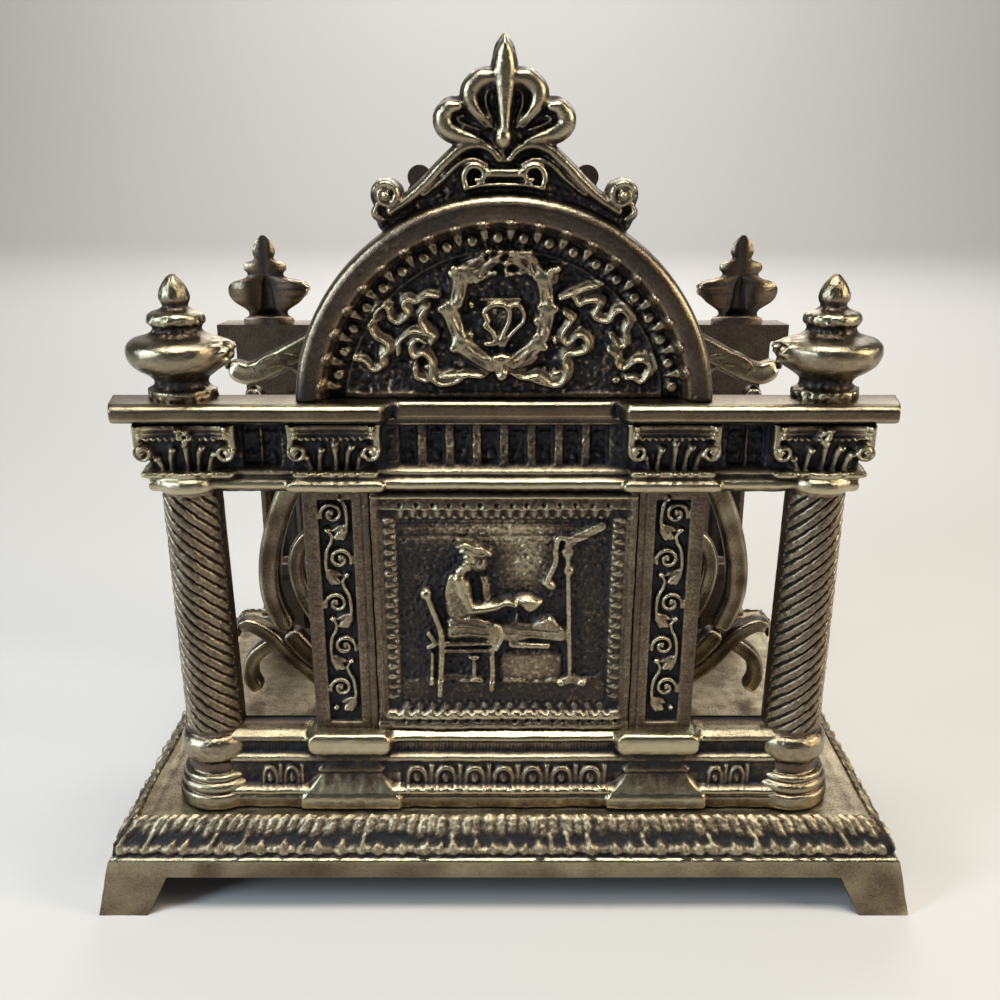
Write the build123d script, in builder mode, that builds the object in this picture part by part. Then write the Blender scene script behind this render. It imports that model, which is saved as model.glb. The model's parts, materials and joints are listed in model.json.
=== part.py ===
from build123d import *
import os

# Cast brass letter rack: two architectural screens facing outwards on a footed base, with an
# openwork scroll divider between them. Millimetres, +Z up, +X to the right, and the front
# screen faces -Y. The origin is the centre of the base, on the table.

# ---------------------------------------------------------------- driving dimensions
# base
FOOT_X = 73.5  # half length of the base at its feet
FOOT_Y = 49.4  # half depth of the base at its feet
DECK = 16.7  # height of the flat top of the base
FASCIA_TOP = 10.5  # top of the plain band round the base
APRON_BOTTOM = 7.1  # underside of the band, between the feet
FOOT_LENGTH = 8.9  # each foot's length along its side, on the table
FOOT_RAKE = 2.4  # how far a foot's inner edge leans back on its way up
WALL = 2.5  # cast wall of the base

# screens: measured outwards from the back face of each
BACK = 33.16  # distance from the middle of the base to a screen's back face
AXIS_X = 53.1  # columns and finials stand this far each side of the middle
PEDESTAL_X = 28.0  # pedestals, pilasters and their capitals
PEDESTAL_HALF = 8.65
PEDESTAL_DEPTH = 8.0
PILASTER_HALF = 5.6
PILASTER_DEPTH = 4.0
SCROLL_FIELD = (5.4, 0.9)  # width and depth of the sunk field in a pilaster
SCROLL_MARGIN = 1.5  # plain ends of the pilaster, above and below that field
PLINTH_TOP = 31.4
SHAFT_TOP = 77.3  # underside of the entablature
ENTABLATURE_X = 59.4  # half length of the entablature
CORNICE_X = 65.0  # half length of the cornice, at the back
CORNICE_FRONT_X = 63.3  # and at its front edge
CORNICE_TOP = 93.0
CORNICE_DEPTH = 7.7
CENTRE_X = 18.0  # the cornice is set back over this half length

# plaque
PLAQUE_X = 22.7  # half width
PLAQUE_REST = 1.4  # thickness of the ledge that the plaque is let in against
PLAQUE_FACE = 3.1  # its picture field, ahead of the screen's back
PLAQUE_RIM = 3.9  # its frame
PICTURE_RELIEF = 0.8  # height of the picture's low relief
FIELD_X = 18.4
FIELD_Z = (36.8, 73.3)

# pediment
ARCH_CENTRE = 91.0  # height of the arch's centre, just inside the cornice
ARCH_R = 34.2
BAND_R = 29.9  # inside of the plain band
TOOTH_R = 26.4  # inside of the toothed band
TYMPANUM_FACE = 2.0  # how far each part of the gable stands ahead of its back
TOOTH_FACE = 3.2
BAND_FACE = 5.2
WREATH_Z = 106.7
WREATH_R = (5.4, 9.8)  # inside and outside of the wreath
WREATH_FACE = 4.0
PALMETTE_Z = 133.5  # the palmette's lobes fan out from here
PALMETTE_DEPTH = 2.6
TIP = 148.1  # top of the palmette

# divider
DIVIDER_HALF = 2.0  # half thickness
DIVIDER_TOP = 104.0
SPINE = 4.4  # width of the upright down its middle
END_RING = (43.5, 86.2)  # middle of the ring at its shoulder, from the middle of the rack
END_RING_R = (4.2, 8.0)  # inside and outside of that ring
TOE_X = 53.4  # small pad under the end of the lower scroll
TOE = (4.4, 1.6)  # its length and height
PAD = (9.0, 8.0, 4.4)  # pad round the screw
PAD_BOSS_R = 3.4

# fastenings
SCREW_R = 2.0  # M4 slotted cheese-head screws
HEAD_R = 3.5
HEAD_HEIGHT = 2.6
SCREW_REACH = 8.0  # thread length above the deck
BOSS_R = 5.0
BOSS_DEPTH = 2.6  # boss under the deck, below its plain underside
SCREW_PROJECTION = 3.2  # ahead of a screen's back face
DIVIDER_SCREW_X = 33.0
SPIGOT_R = 1.5
SPIGOT_LENGTH = 4.0
SPIGOT_PROJECTION = 2.8
STUD_R = 1.0  # rivet studs on the back of a plaque
PLAY = 0.05  # radial play round screws, spigots and studs
TIP_ROOM = 1.0  # a screw's hole runs this much past its end
SLOT = (1.0, 1.2)  # width and depth of the slot in a screw head

BOSS_BOTTOM = DECK - WALL - BOSS_DEPTH
SCREW_Y = BACK + SCREW_PROJECTION
SPIGOT_Y = BACK + SPIGOT_PROJECTION

os.makedirs("parts", exist_ok=True)


# ---------------------------------------------------------------- shared shapes
def save(builder, node):
    """Label a finished piece and write it under its node name."""
    builder.part.label = node
    export_step(builder.part, f"parts/{node}.step")


def moulded_outline(half, steps):
    """Both edges of a symmetrical upright outline, as one closed ring of points."""
    right = [(half - inset, height) for inset, height in steps]
    left = [(-across, height) for across, height in reversed(right)]
    return right + left


def mitred_block(half_x, half_y, steps):
    """A rectangular block whose four sides follow one moulding, mitred at the corners.

    steps lists (inset from the full half size, height), from the bottom up.
    """
    with BuildPart() as block:
        with BuildSketch(Plane.XZ):
            with BuildLine():
                Polyline(*moulded_outline(half_x, steps), close=True)
            make_face()
        extrude(amount=half_y, both=True)
        with BuildSketch(Plane.YZ):
            with BuildLine():
                Polyline(*moulded_outline(half_y, steps), close=True)
            make_face()
        extrude(amount=half_x, both=True, mode=Mode.INTERSECT)
    return block.part


def engaged_block(half_x, projection, steps):
    """The front half of a mitred block: its flat back is the plane y = 0."""
    with BuildPart() as block:
        add(mitred_block(half_x, projection, steps))
        split(bisect_by=Plane.XZ, keep=Keep.TOP)
    return block.part


def engaged_turning(profile, axis_ahead):
    """A turned shape cut flat at the back plane y = 0, its axis a little ahead of it.

    profile lists (radius, height), from the bottom up.
    """
    with BuildPart() as turning:
        with BuildSketch(Plane.XZ.offset(axis_ahead)):
            with BuildLine():
                Polyline((0, profile[0][1]), *profile, (0, profile[-1][1]), close=True)
            make_face()
        revolve(axis=Axis((0, -axis_ahead, 0), (0, 0, 1)))
        split(bisect_by=Plane.XZ, keep=Keep.TOP)
    return turning.part


def wall_run(left, right, front):
    """A straight run of moulded wall with its back on y = 0, from x = left to x = right.

    front lists (projection, height) from the bottom of the back face up to its top.
    """
    with BuildPart() as run:
        with BuildSketch(Plane.YZ.offset(left)):
            with BuildLine():
                Polyline(*[(-projection, height) for projection, height in front], close=True)
            make_face()
        extrude(amount=right - left)
    return run.part


def upright_pin(radius, bottom, top):
    """A plain round pin or hole along Z."""
    with BuildPart() as pin:
        with BuildSketch(Plane.XY.offset(bottom)):
            Circle(radius)
        extrude(amount=top - bottom)
    return pin.part


def cross_pin(radius, near, far):
    """A round boss that stands out of a screen, from one projection to another."""
    with BuildPart() as pin:
        with BuildSketch(Plane.XZ.offset(near)):
            Circle(radius)
        extrude(amount=far - near)
    return pin.part


# ---------------------------------------------------------------- base
TRAY_OUTSIDE = [
    (0.0, 0.0),
    (2.1, FASCIA_TOP),
    (2.9, 10.9),
    (3.1, 12.6),
    (4.7, 14.4),
    (5.9, 16.3),
    (6.0, DECK),
]
TRAY_HOLLOW = [
    (WALL, -1.0),
    (WALL + 2.1, FASCIA_TOP - 1.0),
    (WALL + 5.9, DECK - WALL),
]
screw_places = [
    (-PEDESTAL_X, -SCREW_Y),
    (PEDESTAL_X, -SCREW_Y),
    (-PEDESTAL_X, SCREW_Y),
    (PEDESTAL_X, SCREW_Y),
    (-DIVIDER_SCREW_X, 0),
    (DIVIDER_SCREW_X, 0),
]


def foot_blocks():
    """Solid corners that fill the hollow base above each foot."""
    side = FOOT_LENGTH + FOOT_RAKE
    with BuildPart() as corners:
        with BuildSketch():
            with GridLocations(2 * FOOT_X - side, 2 * FOOT_Y - side, 2, 2):
                Rectangle(side, side)
        extrude(amount=DECK - WALL)
        add(mitred_block(FOOT_X, FOOT_Y, TRAY_OUTSIDE), mode=Mode.INTERSECT)
    return corners.part


def opening_below(plane, half, reach):
    """The long gap between two feet: raked ends, right through the base."""
    foot_in = half - FOOT_LENGTH
    with BuildPart() as gap:
        with BuildSketch(plane):
            with BuildLine():
                Polyline(
                    (-foot_in, -1),
                    (-foot_in, 0),
                    (FOOT_RAKE - foot_in, APRON_BOTTOM),
                    (foot_in - FOOT_RAKE, APRON_BOTTOM),
                    (foot_in, 0),
                    (foot_in, -1),
                    close=True,
                )
            make_face()
        extrude(amount=reach, both=True)
    return gap.part


with BuildPart() as base_tray:
    add(mitred_block(FOOT_X, FOOT_Y, TRAY_OUTSIDE))
    add(mitred_block(FOOT_X, FOOT_Y, TRAY_HOLLOW), mode=Mode.SUBTRACT)
    add(foot_blocks())
    add(opening_below(Plane.XZ, FOOT_X, FOOT_Y + 1), mode=Mode.SUBTRACT)
    add(opening_below(Plane.YZ, FOOT_Y, FOOT_X + 1), mode=Mode.SUBTRACT)
    # bosses under the deck, drilled for the six screws
    with Locations(*screw_places):
        add(upright_pin(BOSS_R, BOSS_BOTTOM, DECK - WALL))
    with Locations(*screw_places):
        add(upright_pin(SCREW_R + PLAY, 0, DECK), mode=Mode.SUBTRACT)
    # sockets for the spigots under the four columns
    with GridLocations(2 * AXIS_X, 2 * SPIGOT_Y, 2, 2):
        add(upright_pin(SPIGOT_R + PLAY, 0, DECK), mode=Mode.SUBTRACT)
save(base_tray, "base_tray")

# ---------------------------------------------------------------- columns
COLUMN_AHEAD = 0.8  # a column's axis, ahead of the screen's back
COLUMN_PROFILE = [
    (7.5, DECK),
    (7.8, 17.8),
    (7.6, 19.9),
    (7.0, 20.5),
    (7.3, 21.0),
    (7.2, 22.2),
    (6.3, 22.8),
    (6.2, 23.6),
    (5.6, 24.2),
    (5.5, 25.6),
    (6.2, 26.6),
    (6.6, 28.4),
    (6.3, 30.3),
    (5.4, 31.0),
    (4.9, SHAFT_TOP),
]
CHANNEL = (6.4, 3.4)  # width and depth of the channel up the back of a shaft
CHANNEL_Z = (34.0, SHAFT_TOP - 3.0)  # its two ends


def column(place_x):
    """A half-round column standing against the back plane, hollow behind."""
    with BuildPart() as piece:
        with Locations((place_x, -BACK)):
            add(engaged_turning(COLUMN_PROFILE, COLUMN_AHEAD))
        width, depth = CHANNEL
        low, high = CHANNEL_Z
        with Locations((place_x, -BACK - depth / 2, (low + high) / 2)):
            Box(width, depth, high - low, mode=Mode.SUBTRACT)
        with Locations((place_x, -SPIGOT_Y)):
            add(upright_pin(SPIGOT_R, DECK - WALL, DECK))
            add(upright_pin(SPIGOT_R, high, SHAFT_TOP + SPIGOT_LENGTH))
    return piece


# ---------------------------------------------------------------- screens
PLINTH_RUN = [
    (0.0, DECK),
    (7.3, DECK),
    (7.3, 19.5),
    (6.8, 20.7),
    (5.9, 20.9),
    (5.3, 24.9),
    (5.6, 25.4),
    (5.9, 26.2),
    (5.6, 27.1),
    (4.6, 27.3),
    (4.6, 29.1),
    (5.2, 29.4),
    (5.4, 30.1),
    (5.1, 30.9),
    (4.2, 31.0),
    (4.2, PLINTH_TOP),
    (0.0, PLINTH_TOP),
]
PEDESTAL_SIDES = [
    (0.0, DECK),
    (0.0, 20.4),
    (0.7, 20.8),
    (1.6, 21.9),
    (2.0, 23.1),
    (1.6, 23.4),
    (1.6, 25.1),
    (2.4, 25.4),
    (2.4, 26.9),
    (1.2, 27.3),
    (0.8, 28.6),
    (0.8, 30.2),
    (1.2, 31.3),
    (1.9, 31.9),
]
ENTABLATURE_RUN = [
    (0.0, SHAFT_TOP),
    (3.9, SHAFT_TOP),
    (4.4, 78.0),
    (5.0, 78.6),
    (5.0, 79.5),
    (4.2, 80.2),
    (4.3, 81.2),
    (3.6, 81.5),
    (3.6, 88.9),
    (4.3, 89.4),
    (4.3, 90.4),
    (0.0, 90.4),
]
CORNICE_SIDE = [
    (0.0, 89.0),
    (4.6, 89.0),
    (6.0, 89.8),
    (7.3, 90.2),
    (CORNICE_DEPTH, 90.7),
    (CORNICE_DEPTH, 92.3),
    (5.4, CORNICE_TOP),
    (0.0, CORNICE_TOP),
]
CORNICE_CENTRE = [
    (0.0, 89.4),
    (4.4, 89.5),
    (4.9, 90.0),
    (4.9, 92.5),
    (4.4, CORNICE_TOP),
    (0.0, CORNICE_TOP),
]
CAPITAL_SIDES = [
    (2.6, 80.4),
    (2.4, 82.0),
    (1.6, 84.5),
    (0.9, 86.2),
    (0.2, 86.6),
    (0.0, 87.6),
    (0.0, 89.9),
]
VOLUTE_Z = 84.5
# capitals: half width, projection, place and radius of the volutes
PILASTER_CAPITAL = (7.9, 7.0, 5.9, 1.6)
COLUMN_CAPITAL = (9.2, 7.3, 6.1, 1.55)
COLUMN_CAPITAL_X = AXIS_X - 1.0
RING_PROFILE = [
    (5.2, SHAFT_TOP),
    (6.0, 78.0),
    (6.05, 79.2),
    (5.4, 80.1),
    (5.2, 81.0),
]


def capital(half_x, projection, volute_x, volute_r):
    """A spreading capital with a volute at each front corner, its back on y = 0."""
    with BuildPart() as block:
        add(engaged_block(half_x, projection, CAPITAL_SIDES))
        with Locations((-volute_x, 0, VOLUTE_Z), (volute_x, 0, VOLUTE_Z)):
            add(cross_pin(volute_r, 2.0, projection))
    return block.part


def screen():
    """The front wall: plinth, two pilasters, entablature, capitals and cornice."""
    field_width, field_depth = SCROLL_FIELD
    with BuildPart() as wall:
        with Locations((0, -BACK)):
            add(wall_run(-AXIS_X + 3, AXIS_X - 3, PLINTH_RUN))
            add(wall_run(-ENTABLATURE_X, ENTABLATURE_X, ENTABLATURE_RUN))
            add(wall_run(-CORNICE_X, -CENTRE_X, CORNICE_SIDE))
            add(wall_run(CENTRE_X, CORNICE_X, CORNICE_SIDE))
            add(wall_run(-CENTRE_X, CENTRE_X, CORNICE_CENTRE))
        for side in (-1, 1):
            with Locations((side * PEDESTAL_X, -BACK)):
                add(engaged_block(PEDESTAL_HALF, PEDESTAL_DEPTH, PEDESTAL_SIDES))
                add(capital(*PILASTER_CAPITAL))
            with Locations((side * COLUMN_CAPITAL_X, -BACK)):
                add(capital(*COLUMN_CAPITAL))
            with Locations((side * AXIS_X, -BACK)):
                add(engaged_turning(RING_PROFILE, COLUMN_AHEAD))
            # pilaster, with a sunk field for the scrollwork
            pilaster_x = side * (PLAQUE_X + 0.2 + PILASTER_HALF)
            middle_z = (PLINTH_TOP + SHAFT_TOP) / 2
            height = SHAFT_TOP - PLINTH_TOP
            with Locations((pilaster_x, -BACK - PILASTER_DEPTH / 2, middle_z)):
                Box(2 * PILASTER_HALF, PILASTER_DEPTH, height)
            with Locations((pilaster_x, -BACK - PILASTER_DEPTH, middle_z)):
                Box(field_width, 2 * field_depth, height - 2 * SCROLL_MARGIN, mode=Mode.SUBTRACT)
            # tapered end of the cornice
            with BuildSketch():
                with BuildLine():
                    Polyline(
                        (side * CORNICE_X, -BACK),
                        (side * CORNICE_FRONT_X, -BACK - CORNICE_DEPTH),
                        (side * (CORNICE_X + 2), -BACK - CORNICE_DEPTH - 1),
                        (side * (CORNICE_X + 2), -BACK),
                        close=True,
                    )
                make_face()
            extrude(amount=CORNICE_TOP + 1, mode=Mode.SUBTRACT)
            # ends of the plinth fit round the columns' bases
            with Locations((side * AXIS_X, -BACK)):
                add(column_room(), mode=Mode.SUBTRACT)
        # rebate for the plaque, and the ledge behind it, open behind the picture field
        plaque_z = (PLINTH_TOP + SHAFT_TOP) / 2
        with Locations((0, -BACK - PLAQUE_REST - 5, plaque_z)):
            Box(2 * (PLAQUE_X + PLAY), 10, SHAFT_TOP - PLINTH_TOP, mode=Mode.SUBTRACT)
        with Locations((0, -BACK - PLAQUE_REST / 2, plaque_z)):
            Box(2 * PLAQUE_X + 1, PLAQUE_REST, SHAFT_TOP - PLINTH_TOP)
            Box(2 * FIELD_X, PLAQUE_REST, FIELD_Z[1] - FIELD_Z[0], mode=Mode.SUBTRACT)
        with Locations(*stud_places()):
            add(cross_pin(STUD_R + PLAY, -1, PLAQUE_REST + 1), mode=Mode.SUBTRACT)
        # sockets: screws from below, column spigots, finial spigots and pediment studs
        with Locations((-PEDESTAL_X, -SCREW_Y), (PEDESTAL_X, -SCREW_Y)):
            hole = upright_pin(SCREW_R + PLAY, DECK, DECK + SCREW_REACH + TIP_ROOM)
            add(hole, mode=Mode.SUBTRACT)
        with Locations((-AXIS_X, -SPIGOT_Y), (AXIS_X, -SPIGOT_Y)):
            socket = SPIGOT_R + PLAY
            add(upright_pin(socket, SHAFT_TOP, SHAFT_TOP + SPIGOT_LENGTH), mode=Mode.SUBTRACT)
            add(upright_pin(socket, CORNICE_TOP - SPIGOT_LENGTH, CORNICE_TOP), mode=Mode.SUBTRACT)
        with Locations((-PEDIMENT_STUD_X, -SPIGOT_Y), (PEDIMENT_STUD_X, -SPIGOT_Y)):
            add(upright_pin(socket, CORNICE_TOP - SPIGOT_LENGTH, CORNICE_TOP), mode=Mode.SUBTRACT)
    return wall


def column_room():
    """The space that a column's base takes out of the plinth wall."""
    profile = [(radius + PLAY, height) for radius, height in COLUMN_PROFILE]
    with BuildPart() as room:
        add(engaged_turning(profile, COLUMN_AHEAD))
    return room.part


def stud_places():
    """The four rivet studs near the corners of a plaque, on the screen's back face."""
    across = (PLAQUE_X + FIELD_X) / 2
    return [
        (side * across, -BACK, height)
        for side in (-1, 1)
        for height in (PLINTH_TOP + 2.6, SHAFT_TOP - 2.0)
    ]


# ---------------------------------------------------------------- plaques
# the picture's three masses, each with its middle and its size
SITTER_AT = (-5.5, 52.0)
SITTER = (5.0, 9.0)
TABLE_AT = (5.0, 47.5)
TABLE = (13.0, 5.0)
STAND_AT = (11.5, 54.0)
STAND = (2.0, 26.0)


def plaque():
    """The picture panel: a sunk field inside a raised frame, with four studs behind."""
    top = SHAFT_TOP - PLAY
    bottom = PLINTH_TOP + PLAY
    middle_z = (top + bottom) / 2
    field_height = FIELD_Z[1] - FIELD_Z[0]
    with BuildPart() as panel:
        with BuildSketch(Plane.XZ.offset(BACK + PLAQUE_REST)):
            with Locations((0, middle_z)):
                Rectangle(2 * PLAQUE_X, top - bottom)
        extrude(amount=PLAQUE_RIM - PLAQUE_REST)
        with BuildSketch(Plane.XZ.offset(BACK + PLAQUE_FACE)):
            with Locations((0, sum(FIELD_Z) / 2)):
                Rectangle(2 * FIELD_X, field_height)
        extrude(amount=PLAQUE_RIM - PLAQUE_FACE, mode=Mode.SUBTRACT)
        # the picture's low relief
        with BuildSketch(Plane.XZ.offset(BACK + PLAQUE_FACE)):
            with Locations(SITTER_AT):
                Ellipse(*SITTER)
            with Locations(TABLE_AT):
                Rectangle(*TABLE)
            with Locations(STAND_AT):
                Rectangle(*STAND)
        extrude(amount=PICTURE_RELIEF)
        with Locations(*stud_places()):
            add(cross_pin(STUD_R, 0, PLAQUE_REST))
    return panel


# ---------------------------------------------------------------- pediments
PEDIMENT_STUD_X = 31.8
# right half of the saddle that joins the palmette to the arch
SADDLE = [(6.5, 132.5), (12.0, 127.5), (18.6, 126.0), (18.0, 118.0)]
# the palmette's lobes on each side: length, half width, lean from upright in degrees
LOBES = [(9.4, 2.9, 74), (9.6, 2.8, 42), (9.2, 2.4, 18)]
MIDDLE_LEAF = [(-2.2, 136), (-1.9, 141), (0, TIP), (1.9, 141), (2.2, 136)]
# round bosses at the eyes of the crest's scrolls: place, height, radius, projection
SCROLL_EYES = [(17.2, 125.3, 2.3, 4.0), (4.8, 129.0, 1.9, 3.8)]


def half_ring(outer, inner, projection):
    """An upright half ring about the arch's centre, cut off level with the cornice."""
    with BuildPart() as ring:
        with BuildSketch(Plane.XZ):
            with Locations((0, ARCH_CENTRE)):
                Circle(outer)
                if inner:
                    Circle(inner, mode=Mode.SUBTRACT)
            with Locations((0, CORNICE_TOP - outer)):
                Rectangle(2 * outer + 2, 2 * outer, mode=Mode.SUBTRACT)
        extrude(amount=projection)
    return ring.part


def palmette():
    """The crest above the arch: saddle, side volutes, fan of lobes and middle leaf."""
    with BuildPart() as crest:
        with BuildSketch(Plane.XZ):
            with BuildLine():
                left_half = [(-across, height) for across, height in reversed(SADDLE)]
                Polyline(*left_half, *SADDLE, close=True)
            make_face()
            for length, half_width, lean in LOBES:
                for side in (-1, 1):
                    with Locations(Location((0, PALMETTE_Z), -side * lean)):
                        with Locations((0, length / 2 + 1.0)):
                            Ellipse(half_width, length / 2 + 1.0)
            with BuildLine():
                Polyline(*MIDDLE_LEAF, close=True)
            make_face()
        extrude(amount=PALMETTE_DEPTH)
        for across, height, radius, projection in SCROLL_EYES:
            with Locations((-across, 0, height), (across, 0, height)):
                add(cross_pin(radius, 0, projection))
    return crest.part


def pediment():
    """The semicircular gable that stands on the cornice."""
    with BuildPart() as gable:
        with Locations((0, -BACK)):
            add(half_ring(ARCH_R, 0, TYMPANUM_FACE))
            add(half_ring(ARCH_R, BAND_R, BAND_FACE))
            add(half_ring(BAND_R, TOOTH_R, TOOTH_FACE))
            add(palmette())
        with BuildSketch(Plane.XZ.offset(BACK)):
            with Locations((0, WREATH_Z)):
                inside, outside = WREATH_R
                Circle(outside)
                Circle(inside, mode=Mode.SUBTRACT)
        extrude(amount=WREATH_FACE)
        with Locations((-PEDIMENT_STUD_X, -SPIGOT_Y), (PEDIMENT_STUD_X, -SPIGOT_Y)):
            add(upright_pin(SPIGOT_R, CORNICE_TOP - SPIGOT_LENGTH, CORNICE_TOP + 1))
    return gable


# ---------------------------------------------------------------- finials
FINIAL_PROFILE = [
    (5.6, CORNICE_TOP),
    (5.6, 94.4),
    (4.3, 95.2),
    (4.3, 96.3),
    (6.1, 97.3),
    (8.1, 99.0),
    (8.55, 100.9),
    (8.3, 101.8),
    (6.4, 102.9),
    (4.3, 103.7),
    (3.9, 104.4),
    (4.6, 105.4),
    (4.6, 106.6),
    (3.0, 107.6),
    (2.1, 108.3),
    (2.5, 109.6),
    (2.3, 111.0),
    (1.2, 112.3),
    (0.3, 112.8),
]
FINIAL_HOLLOW = [(3.2, 94.8), (2.0, 96.6), (1.6, 99.0), (1.2, 102.0), (0.4, 103.6)]


def finial(place_x):
    """A half-round urn, hollow behind, with a spigot into the cornice."""
    with BuildPart() as urn:
        with Locations((place_x, -BACK)):
            add(engaged_turning(FINIAL_PROFILE, 0))
            add(engaged_turning(FINIAL_HOLLOW, 0), mode=Mode.SUBTRACT)
        with Locations((place_x, -SPIGOT_Y)):
            add(upright_pin(SPIGOT_R, CORNICE_TOP - SPIGOT_LENGTH, CORNICE_TOP))
    return urn


# ---------------------------------------------------------------- divider
# Each stroke of scrollwork is (width, points down its middle), on the right-hand side.
SCROLLS = [
    (3.6, [(0, 99), (12, 102.5), (26, 100.6), (39.4, 94.2), (49.6, 89.4), (54.0, 91.2)]),
    (4.4, [(22, 78), (27, 82.5), (35, 78), (43.5, 66), (48.4, 53), (49.3, 42), (46.5, 33)]),
    (4.4, [(46.5, 33), (41, 26.5), (33, 22.5), (20, 21.5), (6, 27), (0, 36)]),
    (3.4, [(34, 51), (36, 56), (41.5, 54), (43.6, 48), (41.6, 39.5), (36, 32), (27, 28.5)]),
    (3.6, [(57.2, 33.4), (54.5, 34.4), (50, 31.6), (45, 25.6), (39, 20.9), (33, 19)]),
    (3.2, [(49.5, 30.5), (54.2, 26.5), (55.2, 22.0), (53.6, 18.4)]),
    (3.6, [(0, 58), (8, 66), (16, 76), (22, 78), (24.5, 73), (20.5, 69.5)]),
    (3.6, [(27, 28.5), (20, 33), (14, 42), (6, 50), (0, 52)]),
]


def scroll(width, points):
    """One stroke of scrollwork, as thick as the divider."""
    with BuildPart() as stroke:
        with BuildSketch(Plane.XZ.offset(-DIVIDER_HALF)):
            with BuildLine():
                Spline(*points)
            trace(line_width=width)
        extrude(amount=2 * DIVIDER_HALF)
    return stroke.part


with BuildPart() as divider:
    for width, points in SCROLLS:
        add(scroll(width, points))
    with BuildSketch(Plane.XZ.offset(-DIVIDER_HALF)):
        with Locations(END_RING):
            inside, outside = END_RING_R
            Circle(outside)
            Circle(inside, mode=Mode.SUBTRACT)
        with Locations((TOE_X, DECK + TOE[1] / 2)):
            Rectangle(*TOE)
    extrude(amount=2 * DIVIDER_HALF)
    with Locations((DIVIDER_SCREW_X, 0, DECK + PAD[2] / 2)):
        Box(*PAD)
    with Locations((DIVIDER_SCREW_X, 0)):
        screw_end = DECK + SCREW_REACH + TIP_ROOM
        add(upright_pin(PAD_BOSS_R, DECK, screw_end + TIP_ROOM))
        add(upright_pin(SCREW_R + PLAY, DECK, screw_end), mode=Mode.SUBTRACT)
    mirror(about=Plane.YZ)
    with Locations((0, 0, (DECK + DIVIDER_TOP) / 2)):
        Box(SPINE, 2 * DIVIDER_HALF, DIVIDER_TOP - DECK)
save(divider, "divider")


# ---------------------------------------------------------------- screws
def machine_screw(place):
    """A slotted cheese-head screw, pointing up, with its head against a boss."""
    with BuildPart() as screw:
        with Locations(place):
            add(upright_pin(SCREW_R, BOSS_BOTTOM, DECK + SCREW_REACH))
            add(upright_pin(HEAD_R, BOSS_BOTTOM - HEAD_HEIGHT, BOSS_BOTTOM))
        slot_width, slot_depth = SLOT
        with Locations((*place, BOSS_BOTTOM - HEAD_HEIGHT)):
            Box(2 * HEAD_R, slot_width, 2 * slot_depth, mode=Mode.SUBTRACT)
    return screw


# ---------------------------------------------------------------- both screens
front_pieces = {
    "screen": screen(),
    "plaque": plaque(),
    "pediment": pediment(),
    "left_column": column(-AXIS_X),
    "right_column": column(AXIS_X),
    "left_finial": finial(-AXIS_X),
    "right_finial": finial(AXIS_X),
    "screen_left_screw": machine_screw(screw_places[0]),
    "screen_right_screw": machine_screw(screw_places[1]),
}
for name, piece in front_pieces.items():
    save(piece, f"front_{name}")
    with BuildPart() as turned_piece:
        add(piece.part.rotate(Axis.Z, 180))
    save(turned_piece, f"rear_{name}")
save(machine_screw(screw_places[4]), "divider_left_screw")
save(machine_screw(screw_places[5]), "divider_right_screw")
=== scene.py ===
import math

import bpy
import numpy as np
from mathutils import Matrix, Vector
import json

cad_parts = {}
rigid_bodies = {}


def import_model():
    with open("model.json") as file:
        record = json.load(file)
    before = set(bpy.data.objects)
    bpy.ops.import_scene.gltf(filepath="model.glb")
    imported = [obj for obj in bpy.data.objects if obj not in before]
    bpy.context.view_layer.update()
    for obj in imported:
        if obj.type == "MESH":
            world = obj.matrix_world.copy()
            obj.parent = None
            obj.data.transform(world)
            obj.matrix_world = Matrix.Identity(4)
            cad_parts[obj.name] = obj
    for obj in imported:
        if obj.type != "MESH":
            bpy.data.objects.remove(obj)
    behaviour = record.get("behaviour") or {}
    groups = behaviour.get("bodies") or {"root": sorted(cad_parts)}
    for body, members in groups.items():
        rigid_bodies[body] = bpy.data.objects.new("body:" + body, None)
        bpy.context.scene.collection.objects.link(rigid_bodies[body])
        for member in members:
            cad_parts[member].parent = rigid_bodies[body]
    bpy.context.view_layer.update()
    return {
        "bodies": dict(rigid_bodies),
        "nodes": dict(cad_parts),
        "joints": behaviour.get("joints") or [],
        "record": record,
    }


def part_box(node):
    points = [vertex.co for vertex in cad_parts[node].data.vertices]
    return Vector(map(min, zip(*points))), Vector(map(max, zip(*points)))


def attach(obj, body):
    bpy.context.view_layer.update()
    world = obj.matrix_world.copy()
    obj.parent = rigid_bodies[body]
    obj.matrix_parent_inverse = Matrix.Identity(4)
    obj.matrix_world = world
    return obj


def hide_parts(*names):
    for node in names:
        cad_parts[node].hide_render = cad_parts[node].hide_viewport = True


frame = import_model()

# Looks of a cast brass letter rack. Lengths below are in millimetres and are turned into
# metres when a mesh is made. Each front screen faces -Y, and the rear one is the same
# casting turned half round.


# ---------------------------------------------------------------- sizes from the frame
def node_box(node):
    """A CAD node's corners in millimetres."""
    low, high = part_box(node)
    return [v * 1000 for v in low], [v * 1000 for v in high]


SCREEN_HIGH = node_box("front_screen")[1]
PLAQUE_LOW, PLAQUE_HIGH = node_box("front_plaque")
FINIAL_LOW, FINIAL_HIGH = node_box("front_right_finial")
PEDIMENT_HIGH = node_box("front_pediment")[1]
TRAY_HIGH = node_box("base_tray")[1]
DIVIDER_LOW, DIVIDER_HIGH = node_box("divider")

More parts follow.
